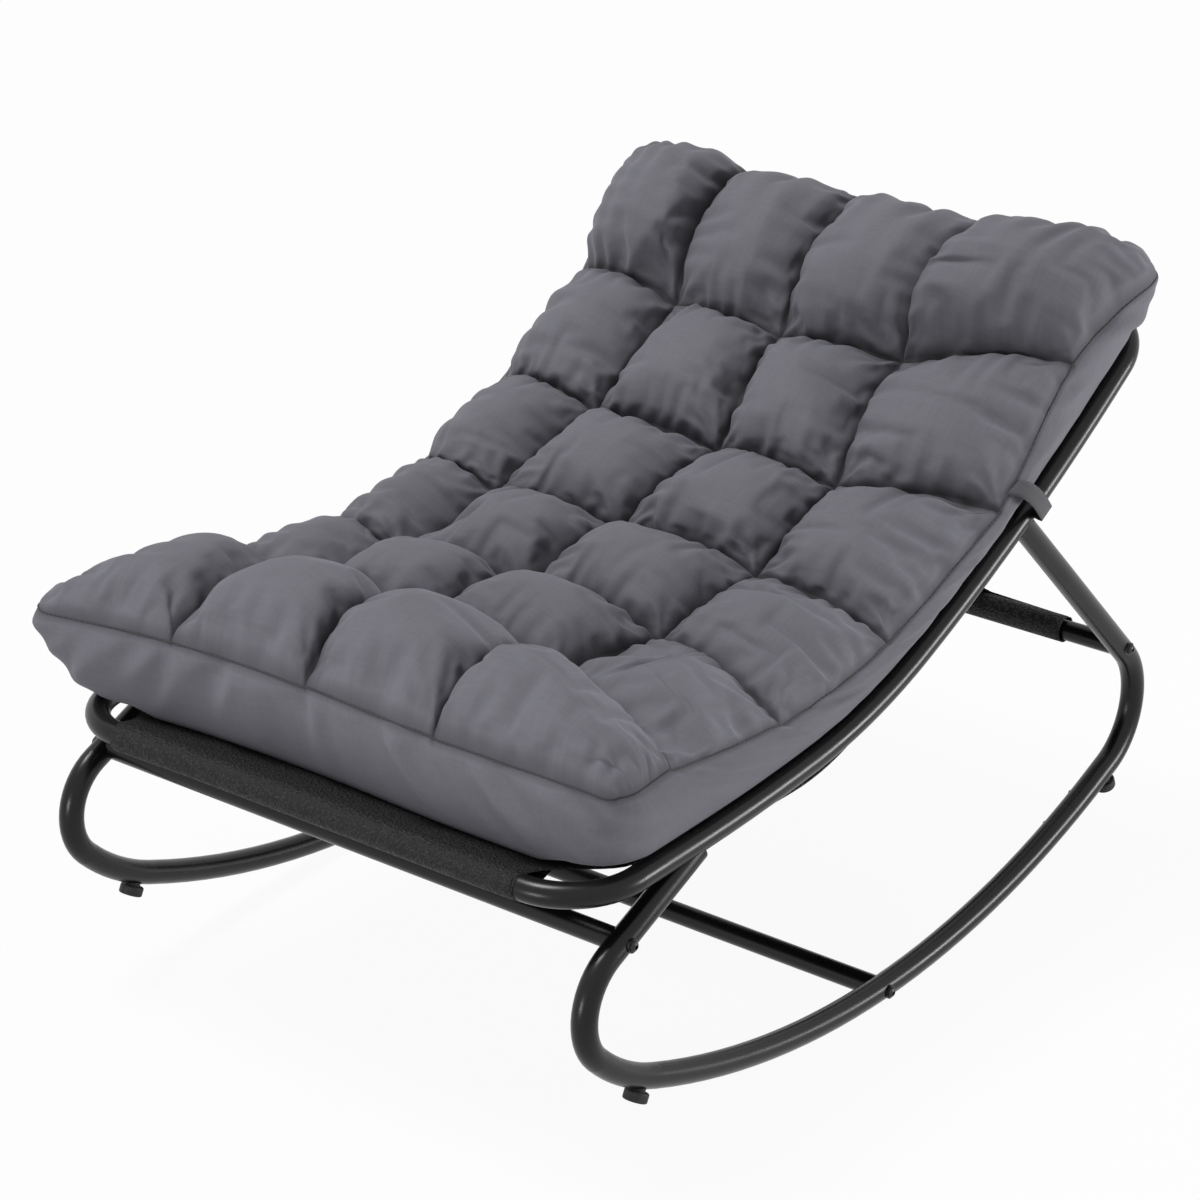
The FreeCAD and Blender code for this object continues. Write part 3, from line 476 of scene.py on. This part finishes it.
def slack(rng, x, s, full, depth):
    """Long shallow wrinkles across a pillow, mostly square to the rail."""
    out = np.zeros_like(full)
    for _ in range(3):
        lean = rng.uniform(-0.35, 0.35)
        pitch = rng.uniform(0.03, 0.06)
        across = x * math.sin(lean) + s * math.cos(lean)
        swell = 0.5 + 0.5 * np.sin(2 * math.pi * (x / rng.uniform(0.09, 0.16) + rng.uniform()))
        out = out + swell * np.sin(2 * math.pi * (across / pitch + rng.uniform()))
    return depth / 2 * out * full


def pillow_base(r, c, tu, tv, heights):
    """Surface through the four creases round a pillow."""
    cross, along_row, along_column = heights
    south = arch(cross[r, c], cross[r, c + 1], along_row[r, c], tu)
    north = arch(cross[r + 1, c], cross[r + 1, c + 1], along_row[r + 1, c], tu)
    west = arch(cross[r, c], cross[r + 1, c], along_column[r, c], tv)
    east = arch(cross[r, c + 1], cross[r + 1, c + 1], along_column[r, c + 1], tv)
    flat = (cross[r, c] * (1 - tu) * (1 - tv) + cross[r, c + 1] * tu * (1 - tv)
            + cross[r + 1, c] * (1 - tu) * tv + cross[r + 1, c + 1] * tu * tv)
    return south * (1 - tv) + north * tv + west * (1 - tu) + east * tu - flat


def add_folds(rng, height, r, c, x, s, wide, row_len, full):
    """Height of a pillow with folds at its creases and seams and its slack wrinkles."""
    for near_x in (x, wide - x):
        height = height + puckers(rng, s, near_x)
        for near_s in (s, row_len - s):
            height = height + gathers(rng, near_x, near_s)
    for near_s in (s, row_len - s):
        height = height + puckers(rng, x, near_s)
    if r == ROWS - 1:
        height = height + edge_gathers(rng, x, row_len - s)
    if c == 0:
        height = height + edge_gathers(rng, s, x)
        height = height + pulls(rng, wide - x, s, row_len, LEFT_PULL[r] * MM)
    if c == COLUMNS - 1:
        height = height + pulls(rng, x, s, row_len, RIGHT_PULL[r] * MM)
    return height + slack(rng, x, s, full, SLACK_DEPTH[c] * MM)


def pillow_heights(u, v):
    """Height of the top panel in metres over a grid of column and row coordinates."""
    heights = crease_heights()
    rng = np.random.default_rng(7)
    out = np.zeros((len(v), len(u)))
    for r in range(ROWS):
        row_len = (LINE_S[r + 1][2] - LINE_S[r][2]) * MM
        rows = np.where((v >= r) & (v <= r + 1))[0]
        tv = (v[rows] - r)[:, None]
        for c in range(COLUMNS):
            cols = np.where((u >= c) & (u <= c + 1))[0]
            tu = (u[cols] - c)[None, :]
            base = pillow_base(r, c, tu, tv, heights)
            middle = base[len(rows) // 2, len(cols) // 2]
            full = puff(tu ** COLUMN_SKEW[c]) * puff(tv ** ROW_SKEW[r])
            height = (base + (CROWN_N[r][c] - middle) * full) * MM
            wide = (LINE_X[r][c + 1] - LINE_X[r][c]) * MM
            x, s = np.broadcast_arrays(tu * wide, tv * row_len)
            out[np.ix_(rows, cols)] = add_folds(rng, height, r, c, x, s, wide, row_len, full)
    return out


def crease_shade(u, v):
    """Painted shade on the top panel towards its sewn lines, where shade falls in the creases."""
    def near(t, cells):
        line = np.round(t)
        away = np.abs(t - line) * PILLOW
        return np.where((line > 0) & (line < cells), np.exp(-away / PAINTED_SHADE_REACH), 0)
    return SEAM_PAINTED_SHADE * np.maximum(near(u, COLUMNS)[None, :], near(v, ROWS)[:, None])


def round_corners(x, s, left, right, start, end, radii):
    """Plan with its four corners turned into quarter rounds, of one radius in front and one at the top."""
    x, s = x.copy(), s.copy()
    for side, edge in ((-1, left), (1, right)):
        for near, sign, r in ((start, 1, radii[0]), (end, -1, radii[1])):
            a = (side * (x - edge) + r) / r
            b = (r - sign * (s - near)) / r
            inside = (a > 0) & (b > 0)
            a1, b1 = np.clip(a, 0, 1), np.clip(b, 0, 1)
            x = np.where(inside, edge - side * (r - r * a1 * np.sqrt(1 - b1 ** 2 / 2)), x)
            s = np.where(inside, near + sign * (r - r * b1 * np.sqrt(1 - a1 ** 2 / 2)), s)
    return x, s


def cushion_place(x, s, n):
    """Points at x across, s along the rail and n above its centreline."""
    y, z, h = rail_at(s)
    return np.stack([x, y - np.sin(h) * n, z + np.cos(h) * n], axis=-1)


def underside(x, s):
    """Height of the solid cushion's underside, which lies on the rails and the sling."""
    solid = frame["nodes"]["cushion"].data
    tree = BVHTree.FromPolygons([v.co for v in solid.vertices], [p.vertices for p in solid.polygons])
    low = cushion_place(x, s, np.full_like(x, -PROBE_LOW))
    high = cushion_place(x, s, np.full_like(x, PROBE_HIGH))
    out = np.full(x.shape, SIT * MM)
    for k in np.ndindex(x.shape):
        start, end = Vector(low[k]), Vector(high[k])
        hit = tree.ray_cast(start, (end - start).normalized(), PROBE_LOW + PROBE_HIGH)
        if hit[0] is not None:
            out[k] = min(out[k], hit[3] - PROBE_LOW + FOOT_CLEAR)
    return out


def drape(along, t):
    """Slack folds in the side walls, fanning out from the middle of the front."""
    rng = np.random.default_rng(11)
    lean = DRAPE_FAN * np.cos(math.pi * np.clip(along / FRONT_RUN, 0, 1))
    out = np.zeros_like(along)
    for pitch, depth in DRAPE_FOLDS:
        group = pitch * rng.uniform(*DRAPE_SWELL)
        swell = 0.5 + 0.5 * np.sin(2 * math.pi * (along / group + rng.uniform()))
        ridge = 0.5 + 0.5 * np.sin(2 * math.pi * ((along + lean * t) / pitch + rng.uniform()))
        out = out + depth * swell * (2 * ridge ** DRAPE_PEAK - DRAPE_LEVEL)
    return out * min(1.0, t / DRAPE_START) * math.sqrt(1 - t)


def rim_loop(nv, nu):
    """Grid places round the edge, in order."""
    loop = [(0, i) for i in range(nu)] + [(j, nu - 1) for j in range(1, nv)]
    loop += [(nv - 1, i) for i in range(nu - 2, -1, -1)] + [(j, 0) for j in range(nv - 2, 0, -1)]
    return loop


def sewn_plan(table, u, v):
    """Smooth grid in metres through a table of sewn crossings in millimetres."""
    lines = np.stack([even_curve(column, v) for column in np.array(table, float).T], -1)
    return np.stack([even_curve(row, u) for row in lines]) * MM


def cushion_plans(u, v):
    """Plans of the top panel and of the foot panel, each as x and s grids in metres."""
    x, s = sewn_plan(LINE_X, u, v), sewn_plan(LINE_S, u, v)
    left, right = (np.repeat(x[:, i:i + 1], len(u), axis=1) for i in (0, len(u) - 1))
    front, end = s[:1], s[-1:]
    inset = FOOT_IN * MM
    foot_l = np.maximum(left + inset, FOOT_LEFT * MM)
    foot_r = np.full_like(right, FOOT_RIGHT * MM)
    sb = front + inset + v[:, None] / ROWS * (end - front - 2 * inset)
    xb = foot_l + (x - left) / (right - left) * (foot_r - foot_l)
    top = round_corners(x, s, left, right, front, end, SEAM_CORNERS)
    foot = round_corners(xb, sb, foot_l, foot_r, front + inset, end - inset, FOOT_CORNERS)
    return top, foot


def panel_faces(nu, nv, top_uv, foot_uv):
    """Faces and corner UVs of the top panel and the foot panel, cell by cell."""
    faces, uvs = [], []
    base = nu * nv
    for j in range(nv - 1):
        for i in range(nu - 1):
            a, b, c, d = j * nu + i, j * nu + i + 1, (j + 1) * nu + i + 1, (j + 1) * nu + i
            faces.append((a, b, c, d))
            uvs += [top_uv[k] for k in (a, b, c, d)]
            faces.append((base + a, base + d, base + c, base + b))
            uvs += [foot_uv[k] for k in (a, d, c, b)]
    return faces, uvs


def wall_points(upper, lower, plan):
    """Rows of wall points between seam and foot, with their bulge and folds."""
    run = np.roll(plan, -1, 0) - np.roll(plan, 1, 0)
    out2 = np.stack([run[:, 1], -run[:, 0]], -1)
    out2 = out2 / np.linalg.norm(out2, axis=1)[:, None]
    heading = rail_at(plan[:, 1])[2]
    out3 = np.stack([out2[:, 0], out2[:, 1] * np.cos(heading), out2[:, 1] * np.sin(heading)], -1)
    arc = run_length(upper)
    loose = SIDE_DRAPE + (1 - SIDE_DRAPE) * np.clip(-out2[:, 1], 0, 1)
    corner = np.exp(-(np.minimum(arc, arc[-1] - arc) / CORNER_REACH) ** 2)
    rows = []
    for k in range(1, PER_WALL):
        t = k / PER_WALL
        round_out = (WALL_BULGE + CORNER_BULGE * corner) * math.sin(math.pi * t ** BULGE_HIGH)
        bulge = round_out + loose * drape(arc, t)
        rows.append(upper + (lower - upper) * t + out3 * bulge[:, None])
    return rows


def wall_faces(rings, arc, tall):
    """Faces between rings of vertex numbers, with UVs along the seam and down the wall."""
    faces, uvs = [], []
    count = len(arc)
    for k in range(PER_WALL):
        for q in range(count):
            p = (q + 1) % count
            corners = ((k, q), (k + 1, q), (k + 1, p), (k, p))
            faces.append([rings[a][b] for a, b in corners])
            along = {q: arc[q], p: arc[p] if p else arc[-1] + SEAM_STEP}
            uvs += [(along[b], tall[b] * a / PER_WALL) for a, b in corners]
    return faces, uvs


def sew(obj, u, v, seam_ring):
    """Hold the sewn lines, walls and foot, sharpen the seams and store the painted shade of the cloth towards
    them.
    """
    nu, nv = len(u), len(v)
    base = nu * nv
    ring = set(seam_ring.tolist())
    creases = {j * nu + i for i in range(PER_COLUMN, nu - 1, PER_COLUMN) for j in range(nv)}
    creases |= {j * nu + i for j in range(PER_ROW, nv - 1, PER_ROW) for i in range(nu)}
    sewn = creases | ring
    group = obj.vertex_groups.new(name="sewn")
    group.add(sorted(sewn | set(range(base, len(obj.data.vertices)))), 1.0, "REPLACE")
    sharp = obj.data.attributes.new("crease_edge", "FLOAT", "EDGE")
    sharp.data.foreach_set("value", [SHARP * (e.vertices[0] in sewn and e.vertices[1] in sewn)
                                     for e in obj.data.edges])
    # Painted shade at the sewn creases and along the outer seam, kept in the seam attribute
    painted_shade = np.zeros(len(obj.data.vertices), np.float32)
    painted_shade[:base] = crease_shade(u, v).ravel()
    painted_shade[seam_ring] = np.maximum(painted_shade[seam_ring], RIM_PAINTED_SHADE)
    seam = obj.data.attributes.new("seam", "FLOAT", "POINT")
    seam.data.foreach_set("value", painted_shade)


def build_cushion():
    """Closed cushion of quilted top, foot and side walls, and the numbers of its seam's points."""
    u, v = grid_lines(COLUMNS, PER_COLUMN), grid_lines(ROWS, PER_ROW)
    nu, nv = len(u), len(v)
    base = nu * nv
    (xt, st), (xb, sb) = cushion_plans(u, v)
    top = cushion_place(xt, st, pillow_heights(u, v)).reshape(-1, 3)
    foot = cushion_place(xb, sb, underside(xb, sb)).reshape(-1, 3)
    plan = np.stack([xt, st], -1).reshape(-1, 2)
    faces, uvs = panel_faces(nu, nv, plan, np.stack([xb, sb], -1).reshape(-1, 2))

    ring = np.array([j * nu + i for j, i in rim_loop(nv, nu)])
    upper, lower = top[ring], foot[ring]
    walls = wall_points(upper, lower, plan[ring])
    count = len(ring)
    rings = [2 * base + k * count + np.arange(count) for k in range(len(walls))]
    rings = [ring, *rings, ring + base]
    more_faces, more_uvs = wall_faces(rings, run_length(upper), np.linalg.norm(upper - lower, axis=1))

    obj = mesh_object("quilted_cushion", np.concatenate([top, foot, *walls]), faces + more_faces)
    layer = obj.data.uv_layers.new(name="UVMap")
    layer.data.foreach_set("uv", np.array(uvs + more_uvs, np.float32).ravel())
    sew(obj, u, v, ring)
    return obj, ring


def inflate(obj):
    """Swell the cover between its sewn lines with cloth under pressure, with each point's travel capped."""
    before = np.zeros(len(obj.data.vertices) * 3)
    obj.data.vertices.foreach_get("co", before)
    before = before.reshape(-1, 3)
    mod = obj.modifiers.new("swell", "CLOTH")
    for key, value in SWELL.items():
        setattr(mod.settings, key, value)
    mod.settings.effector_weights.gravity = 0
    mod.collision_settings.use_collision = False
    mod.point_cache.frame_end = SWELL_FRAMES
    for f in range(1, SWELL_FRAMES + 1):
        scene.frame_set(f)
    shaped = obj.evaluated_get(bpy.context.evaluated_depsgraph_get()).to_mesh()
    after = np.zeros(len(shaped.vertices) * 3)
    shaped.vertices.foreach_get("co", after)
    move = after.reshape(-1, 3) - before
    size = np.linalg.norm(move, axis=1)[:, None]
    move = move * np.minimum(1, SWELL_CAP * np.tanh(size / SWELL_CAP) / np.maximum(size, 1e-9))
    obj.modifiers.remove(mod)
    obj.data.vertices.foreach_set("co", (before + move).ravel())
    obj.data.update()
    scene.frame_set(1)


def welt(obj, ring):
    """Thin sewn welt round the seam between top panel and side walls."""
    points = [obj.data.vertices[int(k)].co.copy() for k in ring]
    curve = bpy.data.curves.new("cushion_welt", "CURVE")
    curve.dimensions = "3D"
    curve.bevel_depth = WELT_R
    curve.bevel_resolution = 2
    spline = curve.splines.new("POLY")
    spline.points.add(len(points) - 1)
    for place, p in zip(spline.points, points):
        place.co = (*p, 1)
    spline.use_cyclic_u = True
    made = bpy.data.objects.new("cushion_welt", curve)
    scene.collection.objects.link(made)
    piece(made, SEAM_THREAD, "cushion_grey")


def make_cushion():
    """Quilted cushion with its welt."""
    obj, ring = build_cushion()
    outward(obj)
    inflate(obj)
    smooth(obj)
    welt(obj, ring)
    finer = obj.modifiers.new("finer", "SUBSURF")
    finer.levels = finer.render_levels = 1
    piece(obj, GREY_CLOTH, "cushion_grey", "cushion")


# Sling, band and straps
def cloth_strip(name, path, halves, thick, across=40, ripple=0.0):
    """Thin closed cloth along a (y, z) path, with a half width at each station."""
    path = np.asarray(path)
    run = np.gradient(path, axis=0)
    normal = np.stack([-run[:, 1], run[:, 0]], -1) / np.linalg.norm(run, axis=1)[:, None]
    length = run_length(path)
    w = np.linspace(-1, 1, across + 1)
    verts, faces, flat = [], [], []
    for side in (1, -1):
        for k, (p, n) in enumerate(zip(path, normal)):
            for t in w:
                lift = side * thick / 2 + ripple * t ** 4 * math.sin(length[k] * RIPPLE_WAVE + t)
                verts.append((t * halves[k], p[0] + n[0] * lift, p[1] + n[1] * lift))
                flat.append((t * halves[k], length[k]))
    step, sheet = across + 1, len(path) * (across + 1)
    for k in range(len(path) - 1):
        for i in range(across):
            a, b, c, d = k * step + i, k * step + i + 1, (k + 1) * step + i + 1, (k + 1) * step + i
            faces += [(a, b, c, d), (sheet + a, sheet + d, sheet + c, sheet + b)]
    edge = [k * step for k in range(len(path))] + [(len(path) - 1) * step + i for i in range(1, step)]
    edge += [k * step + across for k in range(len(path) - 2, -1, -1)] + list(range(across - 1, 0, -1))
    for a, b in zip(edge, edge[1:] + edge[:1]):
        faces.append((a, b, sheet + b, sheet + a))
    obj = mesh_object(name, verts, faces)
    outward(obj)
    flat_uv(obj, flat)
    smooth(obj)
    return obj, float(length[-1])


def wrap(centre, radius, start_deg, turn_deg, count=28):
    """Points round a tube, angles from +Y towards +Z."""
    angles = np.radians(start_deg + np.linspace(0, turn_deg, count))
    return [(centre[0] + radius * math.cos(a), centre[1] + radius * math.sin(a)) for a in angles]


# Sling and band in metres and degrees
CLOTH = 1.2 * MM
RIPPLE, RIPPLE_WAVE = 1.2 * MM, 31
SLEEVE_R = TUBE_R + 0.9 * MM
SLING_HALF, SLING_FRONT_HALF, SLING_TOP_HALF = 0.294, 0.249, 0.260
SLING_WIDEN_FROM, SLING_WIDEN_OVER = 0.13, 0.09
FLAP_TURN = 200.0
FLAP_AT = (0.075, 0.06, 0.048)
FLAP_GAP = 1.3 * CLOTH
BAND_RISE, BAND_TURN = 135.0, 333.0
BAND_SLACK, BAND_CLEAR = 2.1 * MM, 0.7 * MM
BAND_HALF, BAND_SLEEVE_HALF = 0.142, 0.257
BAND_FILLET, BAND_FLANGE = 0.034, 0.026
BAND_START, BAND_GAP = 0.003, 1.4 * CLOTH


def top_tube():
    """Centre of the top tube in y and z."""
    y, z = rail_at(TOP_TUBE_AT)[:2]
    return float(y), float(z)


def sling_rise():
    """Sagging seat, and start, heading and length of the sling's straight rise up to the top sleeve."""
    fy, fz = FRONT_TUBE
    drop = math.radians(SLING_DROP)
    lead = (fy + SLEEVE_R * math.sin(drop), fz + SLEEVE_R * math.cos(drop), -SLING_DROP)
    seat = sample(lead, SLING_SAG, 0.012)
    ty, tz = top_tube()
    ey, ez = seat[-1, 1], seat[-1, 2]
    reach = math.hypot(ty - ey, tz - ez)
    aim = math.atan2(tz - ez, ty - ey) + math.asin(SLEEVE_R / reach)
    return seat, (ey, ez), aim, math.sqrt(reach ** 2 - SLEEVE_R ** 2)


def make_sling():
    """One cloth: flap and sleeve at the front tube, sagging seat, sleeve and flap at the top tube."""
    seat, (ey, ez), aim, run = sling_rise()
    fy, fz = FRONT_TUBE
    drop = math.radians(SLING_DROP)
    rise = [(ey + run * f * math.cos(aim), ez + run * f * math.sin(aim)) for f in np.linspace(0.04, 1, 26)]
    front = wrap(FRONT_TUBE, SLEEVE_R, 90 - SLING_DROP + FLAP_TURN, -FLAP_TURN)
    back = wrap(top_tube(), SLEEVE_R, 90 + math.degrees(aim), -FLAP_TURN)
    under_front = [(fy + d, fz + SLEEVE_R * math.cos(drop) - d * math.tan(drop) - FLAP_GAP) for d in FLAP_AT]
    n = (-math.sin(aim), math.cos(aim))
    tip = rise[-1]
    under_back = [(tip[0] - d * math.cos(aim) - n[0] * FLAP_GAP, tip[1] - d * math.sin(aim) - n[1] * FLAP_GAP)
                  for d in reversed(FLAP_AT)]
    path = np.array(under_front + front + [tuple(p) for p in seat[1:, 1:3]] + rise + back[1:] + under_back)
    length = run_length(path)
    total = length[-1]
    inner = np.minimum(length - SLING_WIDEN_FROM, total - SLING_WIDEN_FROM - length)
    ease = np.clip(inner / SLING_WIDEN_OVER, 0, 1)
    ease = ease * ease * (3 - 2 * ease)
    ends = np.where(length < total / 2, SLING_FRONT_HALF, SLING_TOP_HALF)
    halves = ends + (SLING_HALF - ends) * ease
    obj, cut = cloth_strip("sling_cloth", path, halves, CLOTH, 48, RIPPLE)
    piece(obj, PEBBLE, "sling_black", "sling")


def make_band():
    """Cloth band: slack sleeve round the rear bar, strip up to the sling and a sewn flange under it."""
    low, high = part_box("rear_cross_bar")
    a = math.radians(BAND_RISE)
    way = np.array([math.cos(a), math.sin(a)])
    sleeve = np.array([(low.y + high.y) / 2, (low.z + high.z) / 2]) + way * BAND_SLACK
    radius = BAR_R + BAND_SLACK + BAND_CLEAR
    around = wrap(sleeve, radius, BAND_RISE - 90 - BAND_TURN, BAND_TURN, 56)
    start = np.array(around[-1])
    _, foot, aim, _ = sling_rise()
    along = np.array([math.cos(aim), math.sin(aim)])
    below = np.array([math.sin(aim), -math.cos(aim)])
    reach = np.dot(np.array(foot) + below * BAND_GAP - start, below) / np.dot(way, below)
    strip = [start + way * reach * f for f in np.linspace(0, 1, 40)[1:-1]]
    corner = start + way * reach
    flange = [corner + along * BAND_FLANGE * f for f in np.linspace(0.1, 1, 6)]
    path = np.array(around + strip + flange)
    length = run_length(path)
    from_bar = np.clip(length - length[len(around) - 1] - BAND_START, 0, 1)
    bite = np.clip(BAND_FILLET - from_bar, 0, BAND_FILLET)
    fillet = BAND_FILLET - np.sqrt(BAND_FILLET ** 2 - bite ** 2)
    halves = BAND_HALF + np.where(from_bar <= 0, BAND_SLEEVE_HALF - BAND_HALF, fillet)
    obj, cut = cloth_strip("sling_rear_band_cloth", path, halves, CLOTH, 40)
    piece(obj, PEBBLE, "sling_black", "sling_rear_band")


STRAP_W, STRAP_T = 20 * MM, 1.6 * MM
STRAP_RING = [(a, -1) for a in (-1, -0.5, 0, 0.5, 1)] + [(a, 1) for a in (1, 0.5, 0, -0.5, -1)]
STRAP_AT = 754
# Loops as places across, along the rail and above it, in millimetres
SLACK_LOOP = [(329, 716, 53), (338, 717, 55), (346, 721, 48), (349.5, 727, 30), (347, 733, 10),
              (342, 740, -6), (334, 746, -15), (322, 750, -17.5), (310, 752, -14), (303, 754, -4),
              (300, 754, 6), (292, 754, 13.4)]
TIGHT_LOOP = [(x, STRAP_AT, n) for x, n in (
    (300, 17.6), (310, 17.4), (322, 16.4), (333, 13.5), (339, 6), (340, -4), (335, -13),
    (324, -17), (311, -14), (303, -4), (300, 6), (292, 13.4))]


def strap_line(side, loop):
    """Points of a smooth line through a loop on one side of the chair."""
    curve = bpy.data.curves.new("strap_line", "CURVE")
    curve.dimensions = "3D"
    spline = curve.splines.new("NURBS")
    spline.points.add(len(loop) - 1)
    for place, (x, s, n) in zip(spline.points, loop):
        place.co = (*cushion_place(side * x * MM, s * MM, n * MM), 1)
    spline.order_u = 3
    spline.use_endpoint_u = True
    spline.resolution_u = 6
    holder = bpy.data.objects.new("strap_line", curve)
    points = [v.co.copy() for v in bpy.data.meshes.new_from_object(holder).vertices]
    bpy.data.objects.remove(holder)
    return points


def make_strap(side, loop):
    """Webbing loop from the cushion, over and round the rail and back under the cushion."""
    points = strap_line(side, loop)
    h = float(rail_at(STRAP_AT * MM)[2])
    along = Vector((0, math.cos(h), math.sin(h)))
    verts, faces, flat, run = [], [], [], 0.0
    for k, p in enumerate(points):
        tangent = points[min(k + 1, len(points) - 1)] - points[max(k - 1, 0)]
        normal = along.cross(tangent).normalized()
        run += (p - points[max(k - 1, 0)]).length
        for a, b in STRAP_RING:
            verts.append(p + along * (a * STRAP_W / 2) + normal * (b * STRAP_T / 2))
            flat.append((a * STRAP_W / 2, run))
    n = len(STRAP_RING)
    for k in range(len(points) - 1):
        for i in range(n):
            j = (i + 1) % n
            faces.append((k * n + i, k * n + j, (k + 1) * n + j, (k + 1) * n + i))
    faces += [tuple(range(n)), tuple(range((len(points) - 1) * n, len(points) * n))]
    hand = "right" if side > 0 else "left"
    obj = mesh_object(f"{hand}_strap_webbing", verts, faces)
    outward(obj)
    flat_uv(obj, flat)
    smooth(obj)
    piece(obj, STRAP_WEB, "strap_grey", f"{hand}_cushion_strap")


# Stage, with the camera's lens and sensor in millimetres
CAMERA_AT = Vector((2.1683, -2.8047, 1.9271))
CAMERA_TO = Vector((0.002, -0.042, 0.364))
LENS, SENSOR = 115.3, 36
FLOOR_HALF = 9
FLOOR_WHITE = 0.94
WORLD_LIGHT = 0.24


def white_rays(tree):
    """1 for camera, glossy and transmission rays, which see the white surroundings."""
    path = node(tree, "ShaderNodeLightPath")
    seen = path.outputs["Is Camera Ray"]
    for ray in ("Is Glossy Ray", "Is Transmission Ray"):
        both = node(tree, "ShaderNodeMath", operation="MAXIMUM")
        tree.links.new(seen, both.inputs[0])
        tree.links.new(path.outputs[ray], both.inputs[1])
        seen = both.outputs[0]
    return seen


def make_floor():
    """Pale floor that keeps the chair's shadow."""
    corners = [(-FLOOR_HALF, -FLOOR_HALF, 0), (FLOOR_HALF, -FLOOR_HALF, 0),
               (FLOOR_HALF, FLOOR_HALF, 0), (-FLOOR_HALF, FLOOR_HALF, 0)]
    floor = mesh_object("floor", corners, [(0, 1, 2, 3)])
    mat, tree, shader = new_material("floor", (0.72, 0.72, 0.72), 0.9)
    tint(tree, noise(tree, 3, 2), (0.71, 0.71, 0.71), (0.73, 0.73, 0.73), shader)
    floor.data.materials.append(mat)
    glow = node(tree, "ShaderNodeEmission", Strength=1.0)
    blend = node(tree, "ShaderNodeMixShader")
    share = node(tree, "ShaderNodeMath", operation="MULTIPLY")
    share.inputs[1].default_value = FLOOR_WHITE
    tree.links.new(white_rays(tree), share.inputs[0])
    tree.links.new(share.outputs[0], blend.inputs["Fac"])
    tree.links.new(shader.outputs[0], blend.inputs[1])
    tree.links.new(glow.outputs[0], blend.inputs[2])
    tree.links.new(blend.outputs[0], tree.nodes["Material Output"].inputs["Surface"])


def make_world():
    """White surroundings with a low, even light."""
    world = bpy.data.worlds.new("studio")
    world.use_nodes = True
    scene.world = world
    tree = world.node_tree
    light = tree.nodes["Background"]
    light.inputs["Color"].default_value = (1, 1, 1, 1)
    tree.links.new(spread(tree, white_rays(tree), WORLD_LIGHT, 1.0, 0, 1), light.inputs["Strength"])


def sun(name, place, strength, spread_deg):
    """Broad overhead light that shines from the given place towards the origin."""
    data = bpy.data.lights.new(name, "SUN")
    data.energy = strength
    data.angle = math.radians(spread_deg)
    obj = bpy.data.objects.new(name, data)
    obj.rotation_euler = (-Vector(place)).to_track_quat("-Z", "Y").to_euler()
    scene.collection.objects.link(obj)


def strip_light(name, place, target, wide, tall, watts):
    """Low strip lamp that draws a highlight along the tubes."""
    data = bpy.data.lights.new(name, "AREA")
    data.shape = "RECTANGLE"
    data.size, data.size_y = wide, tall
    data.energy = watts
    obj = bpy.data.objects.new(name, data)
    obj.location = place
    obj.rotation_euler = (Vector(target) - Vector(place)).to_track_quat("-Z", "Y").to_euler()
    obj.visible_camera = False
    scene.collection.objects.link(obj)


def make_camera():
    """Camera above the seat, to the right of the front."""
    data = bpy.data.cameras.new("camera")
    data.sensor_width = SENSOR
    data.lens = LENS
    obj = bpy.data.objects.new("camera", data)
    obj.location = CAMERA_AT
    obj.rotation_euler = (CAMERA_TO - CAMERA_AT).to_track_quat("-Z", "Y").to_euler()
    scene.collection.objects.link(obj)
    scene.camera = obj


dress_frame()
make_cushion()
make_sling()
make_band()
make_strap(1, SLACK_LOOP)
make_strap(-1, TIGHT_LOOP)
make_floor()
make_world()
sun("overhead", place=(-0.65, -0.35, 2.0), strength=2.3, spread_deg=20)
strip_light("side", place=(2.16, 1.37, 0.42), target=(0.32, 0.1, 0.35), wide=1.0, tall=0.5, watts=30)
strip_light("front", place=(-0.07, -3.05, 0.42), target=(0.3, -0.45, 0.2), wide=0.9, tall=0.5, watts=19)
make_camera()
scene.view_settings.view_transform = "Standard"
